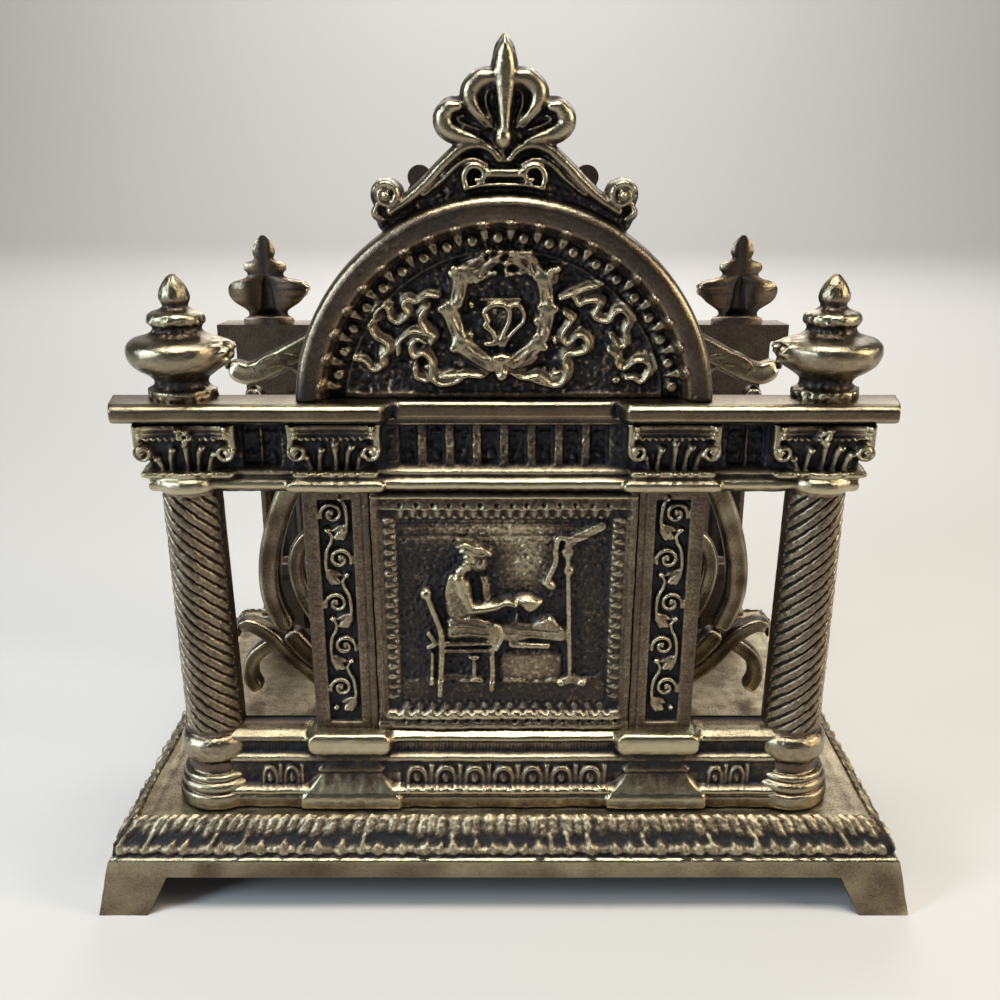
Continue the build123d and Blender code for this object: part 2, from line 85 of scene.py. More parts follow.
BACK = -SCREEN_HIGH[1]  # distance from the middle of the base to a screen's back
DECK = TRAY_HIGH[2]
CORNICE_TOP = SCREEN_HIGH[2]
CORNICE_X = SCREEN_HIGH[0]
ENTABLATURE_HALF = CORNICE_X - 5.6
AXIS_X = (FINIAL_LOW[0] + FINIAL_HIGH[0]) / 2
PLINTH_TOP = PLAQUE_LOW[2]
SHAFT_TOP = PLAQUE_HIGH[2]
PLAQUE_X = PLAQUE_HIGH[0]
ARCH_R = PEDIMENT_HIGH[0] + 0.06
ARCH_CENTRE = CORNICE_TOP - 2.0
TIP = PEDIMENT_HIGH[2]
FOOT_X = TRAY_HIGH[0]
FOOT_Y = TRAY_HIGH[1]

# proportions shared by several pieces
PEDESTAL_X = 28.0
COLUMN_AHEAD = 0.8
RNG = np.random.default_rng(7)


# ---------------------------------------------------------------- small helpers
def unit(values):
    """Values held between 0 and 1."""
    return np.clip(values, 0, 1)


def bell(values, centre, spread):
    """1 at the centre, falling away smoothly on both sides."""
    return np.exp(-(((values - centre) / spread) ** 2))


def mirrored(points, hand):
    """The same points on the right (hand 1) or on the left (hand -1)."""
    return [(hand * x, z) for x, z in points]


def distances(path):
    """How far along a path each of its points lies."""
    return np.concatenate([[0], np.cumsum(np.hypot(*np.diff(path, axis=0).T))])


def add_object(name, data):
    made = bpy.data.objects.new(name, data)
    bpy.context.scene.collection.objects.link(made)
    return made


# ---------------------------------------------------------------- meshes from grids
def new_piece(name, points, faces, wear, shine, sharp=None):
    """A mesh object from points in mm and lists of corner numbers.

    The tone (wear, with painted light and shade in places) and shine are 0 to 1 at each point. sharp marks
    points on a hard edge.
    """
    mesh = bpy.data.meshes.new(name)
    mesh.from_pydata((np.asarray(points) / 1000).tolist(), [], faces)
    mesh.polygons.foreach_set("use_smooth", [True] * len(mesh.polygons))
    for key, values in (("wear", wear), ("shine", shine)):
        layer = mesh.attributes.new(key, "FLOAT", "POINT")
        layer.data.foreach_set("value", np.asarray(values, np.float32))
    if sharp is not None:
        ends = np.zeros(len(mesh.edges) * 2, np.int32)
        mesh.edges.foreach_get("vertices", ends)
        flags = np.asarray(sharp)
        ends = ends.reshape(-1, 2)
        hard = (flags[ends[:, 0]] > 0) & (flags[ends[:, 0]] == flags[ends[:, 1]])
        mesh.edges.foreach_set("use_edge_sharp", hard)
    mesh.validate()
    return add_object(name, mesh)


def blur(field, sigma):
    """Gaussian blur of a height field, sigma in cells, with its edges held."""
    pad = int(3 * sigma) + 1
    wide = np.pad(field, pad, mode="edge")
    fz = np.fft.fftfreq(wide.shape[0])[:, None]
    fx = np.fft.rfftfreq(wide.shape[1])[None, :]
    kernel = np.exp(-2 * (math.pi * sigma) ** 2 * (fx * fx + fz * fz))
    soft = np.fft.irfft2(np.fft.rfft2(wide) * kernel, wide.shape)
    return soft[pad:-pad, pad:-pad]


def grain(shape, sigma):
    """Even random grain with a spread of 1, smoothed to sigma cells."""
    field = blur(RNG.standard_normal(shape), sigma)
    return field / (field.std() + 1e-9)


def wear_of(height, step):
    """How exposed to rubbing each point is: 0 in a recess, 1 on a high edge."""
    close = height - blur(height, 0.45 / step)
    wide = height - blur(height, 2.2 / step)
    return unit(0.46 + 0.5 * close + 0.62 * wide)


def smooth_path(points, per_span=7):
    """A Catmull-Rom curve through a few given points."""
    p = np.array(points, float)
    if len(p) < 3:
        return p
    p = np.vstack([2 * p[0] - p[1], p, 2 * p[-1] - p[-2]])
    t = np.linspace(0, 1, per_span, endpoint=False)[:, None]
    spans = []
    for a, b, c, d in zip(p[:-3], p[1:-2], p[2:-1], p[3:], strict=True):
        spans.append(
            0.5 * (2 * b + (c - a) * t + (2 * a - 5 * b + 4 * c - d) * t**2 + (3 * b - a - 3 * c + d) * t**3)
        )
    return np.vstack([*spans, p[-2:-1]])


def spiral_path(x, z, start, end, radius, turns, shrink):
    """Points along a spiral about (x, z), from start to end in degrees.

    The radius closes in to the share shrink, and turns sets how many points there are.
    """
    count = max(6, int(abs(turns) * 14))
    angles = np.radians(np.linspace(start, end, count))
    radii = radius * np.linspace(1, shrink, count)
    return np.stack([x + radii * np.cos(angles), z + radii * np.sin(angles)], 1)


def round_profile(u):
    return np.sqrt(unit(1 - u * u))


def flat_profile(u):
    return unit((1 - u) / 0.45) ** 0.6


def leaf_profile(u):
    return round_profile(u) * (1 - 0.45 * bell(u, 0, 0.22))


def block_profile(u):
    return unit((1 - u) / 0.24) ** 0.7


def dome_profile(u):
    return unit(1.25 * (1 - u)) ** 0.8


def beside(X, Z, path):
    """For each stretch of a path: every point's gap to it, and the share of the path gone there."""
    steps = np.hypot(*np.diff(path, axis=0).T)
    starts = distances(path)
    for (ax, az), (bx, bz), start, length in zip(path[:-1], path[1:], starts, steps, strict=False):
        if length > 1e-9:
            u = unit(((X - ax) * (bx - ax) + (Z - az) * (bz - az)) / length**2)
            gap = np.hypot(X - ax - u * (bx - ax), Z - az - u * (bz - az))
            yield gap, (start + u * length) / starts[-1]


class Relief:
    """Heights in mm over an upright rectangle, on a regular grid."""

    def __init__(self, left, right, bottom, top, step):
        columns = int(round((right - left) / step)) + 1
        rows = int(round((top - bottom) / step)) + 1
        self.step = step
        self.X, self.Z = np.meshgrid(
            np.linspace(left, right, columns), np.linspace(bottom, top, rows)
        )
        self.h = np.zeros_like(self.X)
        self.shine = np.zeros_like(self.X)

    def window(self, low, high):
        """Rows and columns that cover a rectangle."""
        x, z = self.X[0], self.Z[:, 0]
        columns = slice(*np.searchsorted(x, (low[0], high[0])))
        rows = slice(*np.searchsorted(z, (low[1], high[1])))
        return rows, columns

    def raise_over(self, window, rise, height, shine=0.0):
        """Lay a shape of 0 to 1 times height on the ground that was there before it."""
        ground = self.ground[window]
        shaped = np.where(rise > 0, ground + height * rise, -99.0)
        higher = shaped > self.h[window]
        self.h[window] = np.where(higher, shaped, self.h[window])
        self.shine[window] = np.where(higher & (rise > 0.5), shine, self.shine[window])

    def keep_ground(self):
        """Ornament added from here on stands on the shape made so far."""
        self.ground = self.h.copy()

    def stroke(self, points, width, height, widths=(1.0, 1.0), profile=round_profile, smooth=True, shine=0.0):
        """A raised line along a path. widths scales its width from the start to the end."""
        path = smooth_path(points) if smooth else np.array(points, float)
        reach = width / 2 * max(widths) + self.step
        window = self.window(path.min(0) - reach, path.max(0) + reach)
        X, Z = self.X[window], self.Z[window]
        nearest, t = np.full(X.shape, 1e9), np.zeros(X.shape)
        for gap, share in beside(X, Z, path):
            t = np.where(gap < nearest, share, t)
            nearest = np.minimum(nearest, gap)
        half = width / 2 * np.interp(t, np.linspace(0, 1, len(widths)), widths)
        rise = np.where(nearest < half, profile(nearest / np.maximum(half, 1e-6)), 0)
        self.raise_over(window, rise * np.interp(half / (width / 2), (0, 0.5), (0.3, 1)), height, shine)

    def oval(self, x, z, rx, rz, lean):
        """The window round a leaning oval, and how far out its points are: 1 on the edge."""
        reach = max(rx, rz)
        window = self.window((x - reach, z - reach), (x + reach, z + reach))
        X, Z = self.X[window] - x, self.Z[window] - z
        c, s = math.cos(math.radians(lean)), math.sin(math.radians(lean))
        return window, np.hypot((X * c + Z * s) / rx, (Z * c - X * s) / rz)

    def blob(self, x, z, rx, rz, height, lean=0.0, profile=round_profile, shine=0.0):
        """A raised oval, leaning by some degrees."""
        window, u = self.oval(x, z, rx, rz, lean)
        self.raise_over(window, np.where(u < 1, profile(np.minimum(u, 1)), 0), height, shine)

    def shape(self, corners, height, edge, shine):
        """A raised area inside a closed outline, with its edge rounded over."""
        path = smooth_path([*corners, corners[0]])
        window = self.window(path.min(0) - self.step, path.max(0) + self.step)
        X, Z = self.X[window], self.Z[window]
        nearest = np.minimum.reduce([gap for gap, _ in beside(X, Z, path)])
        inside = np.zeros(X.shape, bool)
        for (ax, az), (bx, bz) in zip(path[:-1], path[1:], strict=True):
            if az != bz:
                crossing = (az > Z) != (bz > Z)
                inside ^= crossing & (X < ax + (Z - az) * (bx - ax) / (bz - az))
        rise = np.where(inside, np.clip(nearest / edge, 0.02, 1) ** 0.6, 0)
        self.raise_over(window, rise, height, shine)

    def lift(self, window, height):
        """Bring a window up to a height wherever it is lower."""
        self.h[window] = np.maximum(self.h[window], height)

    def grain(self, sigma):
        return grain(self.h.shape, sigma)


def screen_place(X, Z, H):
    """Where a height on a screen's relief lies: the screen faces -Y, its back at -BACK."""
    return X, -BACK - H, Z


def relief_piece(name, relief, outline, edge, wear, place=screen_place, back=0.0):
    """A closed casting: the relief in front, straight sides and a flat back.

    outline is positive inside the shape, in mm from its edge; where it is None the piece
    is the whole rectangle. The front edge is rounded over by edge. place puts x, z and the
    height into the frame, and back is the height of the piece's back.
    """
    rows, columns = relief.h.shape
    X, Z, H = relief.X.copy(), relief.Z.copy(), relief.h.copy()
    if outline is None:
        inside = np.ones((rows, columns), bool)
        distance = np.minimum.reduce(
            [X - X[0, 0], X[0, -1] - X, Z - Z[0, 0], Z[-1, 0] - Z]
        )
    else:
        inside = outline > 0
        distance = outline
        gz, gx = np.gradient(outline, relief.step)
        size = np.maximum(gx * gx + gz * gz, 0.2)
        move = np.where(inside, 0, -outline / size)
        move = np.clip(move, 0, 1.5 * relief.step)
        X += gx * move
        Z += gz * move
    rounding = np.clip(edge - distance, 0, edge)
    H = H - (edge - np.sqrt(np.maximum(edge * edge - rounding * rounding, 0)))
    H = np.maximum(H, back + 0.3)
    quads_in = inside[:-1, :-1] | inside[1:, :-1] | inside[:-1, 1:] | inside[1:, 1:]
    if outline is not None:
        near = outline > -1.2 * relief.step
        quads_in &= near[:-1, :-1] & near[1:, :-1] & near[:-1, 1:] & near[1:, 1:]
    number = np.arange(rows * columns).reshape(rows, columns)
    a, b = number[:-1, :-1], number[:-1, 1:]
    c, d = number[1:, 1:], number[1:, :-1]
    quads = np.stack([a, b, c, d], -1)[quads_in]
    used, quads = np.unique(quads, return_inverse=True)
    quads = quads.reshape(-1, 4)
    flat_x, flat_z, flat_h = X.ravel()[used], Z.ravel()[used], H.ravel()[used]
    front = np.stack(place(flat_x, flat_z, flat_h), 1)
    edges = np.concatenate([quads[:, [i, (i + 1) % 4]] for i in range(4)])
    key = edges[:, 0].astype(np.int64) * len(used) + edges[:, 1]
    back_key = edges[:, 1].astype(np.int64) * len(used) + edges[:, 0]
    rim = edges[~np.isin(key, back_key)]
    rim_points = np.unique(rim)
    depth = np.full(len(rim_points), back)
    behind = np.stack(place(flat_x[rim_points], flat_z[rim_points], depth), 1)
    partner = np.full(len(used), -1)
    partner[rim_points] = len(used) + np.arange(len(rim_points))
    sides = np.stack([rim[:, 1], rim[:, 0], partner[rim[:, 0]], partner[rim[:, 1]]], 1)
    following = dict(rim.tolist())
    loops = []
    while following:
        start, after = following.popitem()
        loop = [start]
        while after != start and after in following:
            loop.append(after)
            after = following.pop(after)
        if len(loop) > 3:
            loops.append([int(partner[p]) for p in reversed(loop)])
    points = np.vstack([front, behind])
    sharp = np.zeros(len(points), int)
    sharp[rim_points] = 1
    sharp[len(used):] = 2
    flat_wear = np.concatenate([wear.ravel()[used], np.full(len(behind), 0.4)])
    flat_shine = np.concatenate([relief.shine.ravel()[used], np.zeros(len(behind))])
    faces = quads.tolist() + sides.tolist() + loops
    return new_piece(name, points, faces, flat_wear, flat_shine, sharp)


def band(relief, left, right, profile):
    """Give a straight horizontal moulding to a relief between two x places.

    profile lists (projection, height) from the bottom up.
    """
    run, heights = np.array(profile).T
    window = relief.window((left, heights[0] - 1e-6), (right, heights[-1] + 1e-6))
    relief.lift(window, np.interp(relief.Z[window], heights, run))


def returned(relief, centre, half, projection, profile, draft=9.0, front=1.0):
    """A moulding that turns back round both ends of a block, standing on the relief.

    profile lists (inset from the block's full size, height). draft is how steeply the
    ends fall away: 1 is a slope of 45 degrees. front is how much of the inset its face has.
    """
    inset, heights = np.array(profile).T
    window = relief.window((centre - half - 3, heights[0]), (centre + half + 3, heights[-1]))
    X, Z = relief.X[window], relief.Z[window]
    cut = np.interp(Z, heights, inset)
    from_end = half - cut - np.abs(X - centre)
    rise = projection - front * cut + draft * np.minimum(from_end, 0)
    relief.lift(window, rise)


def drill(relief, x, z, rx, rz, depth, lean=0.0):
    """Press a rounded hollow into the relief."""
    window, u = relief.oval(x, z, rx, rz, lean)
    relief.h[window] -= depth * round_profile(np.minimum(u, 1))


def leaf(relief, root, tip, width, height, curl=0.0, veins=True, shine=0.0):
    """A pointed leaf from its root to its tip, with a groove down the middle when veins is set."""
    ax, az = root
    bx, bz = tip
    mx, mz = (ax + bx) / 2 - curl * (bz - az), (az + bz) / 2 + curl * (bx - ax)
    profile = leaf_profile if veins else round_profile
    relief.stroke([root, (mx, mz), tip], width, height, (0.45, 0.95, 1.0, 0.8, 0.15), profile, shine=shine)


def roughen(relief, amount, sigma=0.35):
    """Sand-cast grain: strongest in the recesses, worn off the high parts."""
    recess = 1 - wear_of(relief.h, relief.step)
    noise = relief.grain(sigma / relief.step)
    slow = relief.grain(1.6 / relief.step)
    relief.h += amount * (0.25 + recess) * noise + 0.5 * amount * slow


def glints(shape, amount):
    """Bright specks for a sand-cast ground: high grains rubbed bright, and painted glints off the grain."""
    return amount * np.clip(grain(shape, 1.1) - 0.55, 0, 1.3)


# ---------------------------------------------------------------- material
def brass_material(name, patina, body, polish, hollow, bump=0.35, base_rough=0.42):
    """Antique brass: dark patina where the casting is recessed, bare metal where it is rubbed, with painted
    light and shade set by which way a surface faces.

    The wear tone (0 recessed to 1 exposed, with painted highlights and shade added in places) and shine (0 to
    1, buffed) come from the piece.
    """
    material = bpy.data.materials.new(name)
    material.use_nodes = True
    nodes, links = material.node_tree.nodes, material.node_tree.links
    nodes.clear()

    def node(kind, **values):
        made = nodes.new(kind)
        for key, value in values.items():
            setattr(made, key, value)
        return made

    def noise(scale, detail, roughness=0.6):
        made = node("ShaderNodeTexNoise")
        made.inputs["Scale"].default_value = scale
        made.inputs["Detail"].default_value = detail
        made.inputs["Roughness"].default_value = roughness
        links.new(place.outputs["Object"], made.inputs["Vector"])
        return made.outputs["Fac"]

    def math_node(operation, a, b, c=None, clamp=False):
        made = node("ShaderNodeMath", operation=operation, use_clamp=clamp)
        for socket, value in zip(made.inputs, (a, b, c), strict=False):
            if isinstance(value, (int, float)):
                socket.default_value = value
            elif value is not None:
                links.new(value, socket)
        return made.outputs[0]

    def ramp(fac, stops):
        made = node("ShaderNodeValToRGB")
        elements = made.color_ramp.elements
        while len(elements) < len(stops):
            elements.new(0.5)
        for element, (position, colour) in zip(elements, stops, strict=True):
            element.position = position
            element.color = (*colour, 1)
        links.new(fac, made.inputs["Fac"])
        return made.outputs["Color"]

    place = node("ShaderNodeTexCoord")
    facing_for_painted_light = node("ShaderNodeSeparateXYZ")
    links.new(node("ShaderNodeNewGeometry").outputs["Normal"], facing_for_painted_light.inputs[0])
    wear = node("ShaderNodeAttribute", attribute_name="wear").outputs["Fac"]
    shine = node("ShaderNodeAttribute", attribute_name="shine").outputs["Fac"]
    cloud = noise(150, 4)
    speck = noise(2600, 3, 0.75)
    fine = noise(5200, 2)
    streak = noise(430, 5, 0.65)
    dull = math_node("MULTIPLY_ADD", shine, -0.5, 0.75)
    broken = math_node("MULTIPLY_ADD", math_node("SUBTRACT", speck, 0.5), dull, wear)
    drifting = math_node("SUBTRACT", cloud, 0.5)
    broken = math_node("MULTIPLY_ADD", drifting, math_node("MULTIPLY", dull, 0.4), broken)
    # painted light and shade: the colour is lighter on what faces up and darker on what faces down
    broken = math_node("MULTIPLY_ADD", facing_for_painted_light.outputs["Z"], 0.12, broken)
    # rubbed holds wear together with painted light and shade
    rubbed = math_node("MULTIPLY_ADD", shine, 0.12, broken, clamp=True)
    metal = ramp(rubbed, [(0.0, hollow), (0.28, patina), (0.55, body), (0.95, polish), (1.0, polish)])
    tint = ramp(streak, [(0.25, (0.82, 0.68, 0.56)), (0.5, (1.0, 1.0, 1.0)), (0.8, (1.1, 1.08, 1.0))])
    coloured = node("ShaderNodeMix", data_type="RGBA", blend_type="MULTIPLY")
    coloured.inputs["Factor"].default_value = 0.75
    links.new(metal, coloured.inputs["A"])
    links.new(tint, coloured.inputs["B"])
    rough = math_node("MULTIPLY_ADD", rubbed, -0.25, base_rough + 0.10)
    rough = math_node("MULTIPLY_ADD", math_node("SUBTRACT", streak, 0.5), 0.2, rough)
    rough = math_node("MULTIPLY_ADD", shine, -0.18, rough)
    rough = math_node("MAXIMUM", rough, 0.2)
    pits = math_node("MULTIPLY_ADD", speck, 0.6, math_node("MULTIPLY", fine, 0.4))
    relief = node("ShaderNodeBump")
    relief.inputs["Strength"].default_value = bump
    relief.inputs["Distance"].default_value = 0.00025
    links.new(pits, relief.inputs["Height"])
    shader = node("ShaderNodeBsdfPrincipled")
    links.new(coloured.outputs["Result"], shader.inputs["Base Color"])
    links.new(rough, shader.inputs["Roughness"])
    links.new(math_node("MULTIPLY_ADD", rubbed, 1.3, 0.45, clamp=True), shader.inputs["Metallic"])
    links.new(relief.outputs["Normal"], shader.inputs["Normal"])
    output = node("ShaderNodeOutputMaterial")
    links.new(shader.outputs["BSDF"], output.inputs["Surface"])
    return material


CAST = brass_material(
    "cast_brass", patina=(0.042, 0.036, 0.032), body=(0.150, 0.112, 0.078),
    polish=(0.47, 0.415, 0.28), hollow=(0.008, 0.009, 0.013),
)
SCREW = brass_material(
    "screw_brass", patina=(0.36, 0.27, 0.14), body=(0.45, 0.34, 0.18),
    polish=(0.72, 0.58, 0.34), hollow=(0.26, 0.19, 0.10), bump=0.15, base_rough=0.3,
)


def stand_for(piece, node):
    """Give a piece its body, and hide the CAD node that it stands for."""
    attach(piece, "root")
    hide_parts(node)


def dress(piece, node):
    piece.data.materials.append(CAST)
    stand_for(piece, node)


# ---------------------------------------------------------------- plinth
PLINTH_RUN = [  # (projection, height)
    (7.2, DECK), (7.3, 19.0), (6.8, 19.3), (7.3, 19.7), (7.35, 20.2), (6.8, 20.7), (5.6, 21.0),
    (5.3, 24.7), (5.2, 25.2), (5.8, 25.6), (6.0, 26.2), (5.8, 26.8), (4.9, 27.1), (4.5, 27.3),
    (4.5, 29.1), (5.1, 29.4), (5.5, 30.0), (5.2, 30.7), (4.3, 31.0), (4.2, PLINTH_TOP),
]
PEDESTAL_SIDES = [  # (inset, height)
    (0.3, DECK), (0.0, 17.3), (0.0, 18.9), (0.3, 19.5), (0.7, 19.7), (0.9, 20.1), (1.9, 21.1), (2.8, 22.1),
    (3.4, 22.9), (3.6, 23.3), (3.1, 23.6), (3.0, 24.2), (3.4, 24.6), (3.8, 25.0), (3.8, 26.6), (3.0, 27.2),
    (2.2, 27.8), (1.8, 28.6), (1.7, 30.2), (2.0, 31.0), (2.8, 31.6), (3.4, 31.9),
]
PEDESTAL_HALF = 9.0
PEDESTAL_DEEP = 8.0
CYMA_LOW, CYMA_HIGH = 19.9, 23.2  # the flared part of a pedestal
REED_PITCH = 0.62


def egg(relief, x, bottom, top, half, height):
    """One egg of an egg-and-dart moulding, with the arch round it and the dart beside it."""
    wall = half * 0.62
    tall = top - bottom - 0.55
    turn = np.linspace(math.pi, 0, 13)
    arch = [(x + wall * math.cos(t), bottom + 0.35 * tall + 0.62 * tall * math.sin(t)) for t in turn]
    arch = [(x - wall, bottom), *arch, (x + wall, bottom)]
    relief.stroke(arch, half * 0.44, height, smooth=False, shine=0.3)
    relief.blob(x, bottom + tall * 0.30, half * 0.40, tall * 0.50, height * 1.15, 0, dome_profile, 0.3)
    dart = [(x + half, bottom), (x + half, top - 0.3)]
    relief.stroke(dart, half * 0.42, height * 0.9, (0.8, 1.0, 1.0), flat_profile, shine=0.2)


def plinth(side):
    relief = Relief(-AXIS_X + 3, AXIS_X - 3, DECK, 31.9, 0.16)
    band(relief, -AXIS_X, AXIS_X, PLINTH_RUN)
    relief.h[relief.Z > PLINTH_TOP] = 0.3
    relief.h += 0.06 * np.sin(relief.X * 0.21 + 1) + 0.05 * np.sin(relief.X * 0.83)
    relief.keep_ground()
    for i in range(-3, 4):
        egg(relief, i * 5.3, 21.0, 24.9, 2.65, 0.75)
    for hand in (-1, 1):
        for i in range(2):
            egg(relief, hand * (38.9 + 4.0 * i), 21.2, 25.0, 1.95, 0.7)
    for i in range(int(2 * AXIS_X / REED_PITCH)):
        x = -AXIS_X + REED_PITCH * i
        relief.stroke([(x, 27.35), (x, 29.05)], 0.42, 0.35, smooth=False)
    for hand in (-1, 1):
        returned(relief, hand * PEDESTAL_X, PEDESTAL_HALF, PEDESTAL_DEEP, PEDESTAL_SIDES, 2.2, 0.6)
    shiny = (relief.Z > 16.8) & (relief.Z < 20.6) | (relief.Z > 29.4) & (relief.Z < 31)
    off_pedestal = np.abs(np.abs(relief.X) - PEDESTAL_X)
    shiny |= (off_pedestal < 8) & ((relief.Z > 27.2) | (relief.Z < 23))
    relief.shine = np.maximum(relief.shine, 0.75 * shiny)
    relief.h = blur(relief.h, 0.9)
    roughen(relief, 0.05)
    bare = off_pedestal > PEDESTAL_HALF - 2.2
    relief.h[(relief.Z > PLINTH_TOP) & bare] = 0.3
    wear = wear_of(relief.h, relief.step)
    # painted highlight: the cyma at each pedestal's foot is made brighter, in streaks
    streaks = np.repeat(relief.grain(2.0)[:1], relief.h.shape[0], 0)
    cyma_painted_highlight = (relief.Z > CYMA_LOW) & (relief.Z < CYMA_HIGH) & (off_pedestal < PEDESTAL_HALF)
    wear += cyma_painted_highlight * (0.30 + 0.06 * streaks)
    relief.shine = np.where(cyma_painted_highlight, -0.1, relief.shine)
    # painted shade on the plinth's ends beside the columns
    painted_shade = (np.abs(relief.X) > 36.6) & (relief.Z > 27.0)
    wear -= 0.30 * painted_shade
    relief.shine = np.where(painted_shade, 0.1, relief.shine)
    return relief_piece(f"{side}_plinth", relief, None, 0.35, unit(wear))


# ---------------------------------------------------------------- pilasters
SUNK_FIELD_X = 28.7


def pilaster_scrolls(relief, centre, flipped):
    """Five spirals down a sunk field, each with an S-shaped stem and a leaf beside it."""
    first, pitch = 73.2, 8.35  # height of the top spiral, and the step down to the next
    for i in range(5):
        hand = (1 if i % 2 == 0 else -1) * (-1 if flipped else 1)
        z = first - pitch * i

        def at(x, rise, z=z, hand=hand):
            return centre + hand * x, z + rise

        start = 200 if hand > 0 else -20
        relief.stroke(
            spiral_path(*at(-0.5, 0), start, start - hand * 480, 2.0, 1.35, 0.26),
            0.95, 0.95, (1.0, 1.0, 0.8), flat_profile, smooth=False, shine=0.35,
        )
        relief.blob(*at(-0.5, 0), 0.55, 0.55, 0.95, shine=0.4)
        if i:
            relief.blob(*at(1.45, 5.3), 0.7, 0.6, 1.05, shine=0.5)
            stalk = [at(1.35, 5.2), at(0.8, 4.2), at(1.0, 2.9)]
            relief.stroke(stalk, 0.9, 0.9, (0.8, 1.0), flat_profile, shine=0.3)
        relief.stroke(
            [at(1.0, 3.0), at(1.75, 1.4), at(2.0, -0.9), at(1.8, -2.5), at(1.2, -3.1)],
            1.05, 0.95, (0.75, 1.0, 0.9, 0.8), flat_profile, shine=0.35,
        )
        leaf(relief, at(1.9, -2.0), at(-0.5, -4.7), 2.3, 0.95, 0.12 * hand, False, shine=0.4)
        leaf(relief, at(1.6, -2.2), at(1.0, -5.1), 1.8, 0.9, 0, False, shine=0.3)
        leaf(relief, at(1.9, -2.0), at(-0.9, -3.3), 1.2, 0.8, 0, False, shine=0.3)
    relief.blob(centre + (1.7 if flipped else -1.7), 35.6, 0.65, 0.6, 0.95, shine=0.4)


def pilaster(side, hand):
    word = "right" if hand > 0 else "left"
    left, right = sorted((hand * (PLAQUE_X + 0.1), hand * (PLAQUE_X + 11.4)))
    relief = Relief(left, right, PLINTH_TOP - 0.2, SHAFT_TOP + 0.6, 0.13)
    relief.h += 4.0
    away = hand * relief.X
    relief.h -= 0.35 * bell(away - PLAQUE_X, 1.35, 0.16)
    field = (np.abs(away - SUNK_FIELD_X) < 2.8) & (relief.Z > 32.9) & (relief.Z < 75.7)
    relief.h[field] = 3.0
    relief.h += 0.03 * np.sin(relief.Z * 1.3)
    relief.keep_ground()
    pilaster_scrolls(relief, hand * SUNK_FIELD_X, hand > 0)
    field_grain = relief.grain(2.0) * field
    relief.h = blur(relief.h, 0.9)
    roughen(relief, 0.035)
    relief.h += 0.03 * field_grain
    brushed = blur(RNG.standard_normal(relief.h.shape), 0.8)
    lines = np.repeat(brushed.mean(1, keepdims=True), brushed.shape[1], 1) + 0.15 * brushed
    relief.h += np.where(field, 0, 0.02 * lines / lines.std())
    wear = wear_of(relief.h, relief.step)
    wear = np.where(field, unit(wear * 1.1 - 0.12), unit(wear * 0.5 + 0.22))
    return relief_piece(f"{side}_{word}_pilaster", relief, None, 0.3, wear)


# ---------------------------------------------------------------- entablature and capitals
ENTABLATURE_TOP = 89.2
ENTABLATURE_END = 63.0
FRIEZE_LOW, FRIEZE_HIGH = 81.6, 88.4
VOLUTE_Z = 84.6
NICHE_PITCH = 4.53
NECK = [(0.6, 79.9), (0.1, 80.3), (0.0, 80.7), (0.2, 81.1), (0.9, 81.4)]
TORUS = [(0.9, 77.4), (0.3, 77.8), (0.0, 78.4), (0.0, 79.0), (0.4, 79.5), (1.0, 79.8)]
COLUMN_CAPITAL_X = AXIS_X - 0.6
ENTABLATURE_RUN = [
    (3.6, SHAFT_TOP), (4.1, 77.6), (4.9, 78.1), (5.15, 78.7), (5.0, 79.4), (4.3, 79.8), (3.9, 80.1),
    (4.3, 80.4), (4.45, 80.8), (4.2, 81.2), (3.4, 81.5), (3.3, 88.6), (4.2, 89.3), (4.3, 90.4),
]
ABACUS = [
    (1.4, 86.6), (0.7, 86.8), (0.6, 87.1), (1.1, 87.35), (0.6, 87.6), (0.5, 87.9), (0.9, 88.1), (0.3, 88.4),
    (0.2, 89.2), (0.0, 90.4),
]
# leaves round a capital's bell (place, top, lean) and the beads of a flower on it (x, z, size)
CAPITAL_LEAVES = [(-4.3, 83.4, -0.4), (-2.3, 84.9, 0.3), (0.2, 86.0, 0.0), (2.4, 85.3, 0.5), (4.2, 84.2, 0.5)]
CAPITAL_FLOWER = [(-0.6, 88.4, 0.8), (-0.4, 87.3, 0.8), (0.3, 86.4, 0.8), (1.1, 87.1, 0.7), (0.6, 88.1, 0.7)]


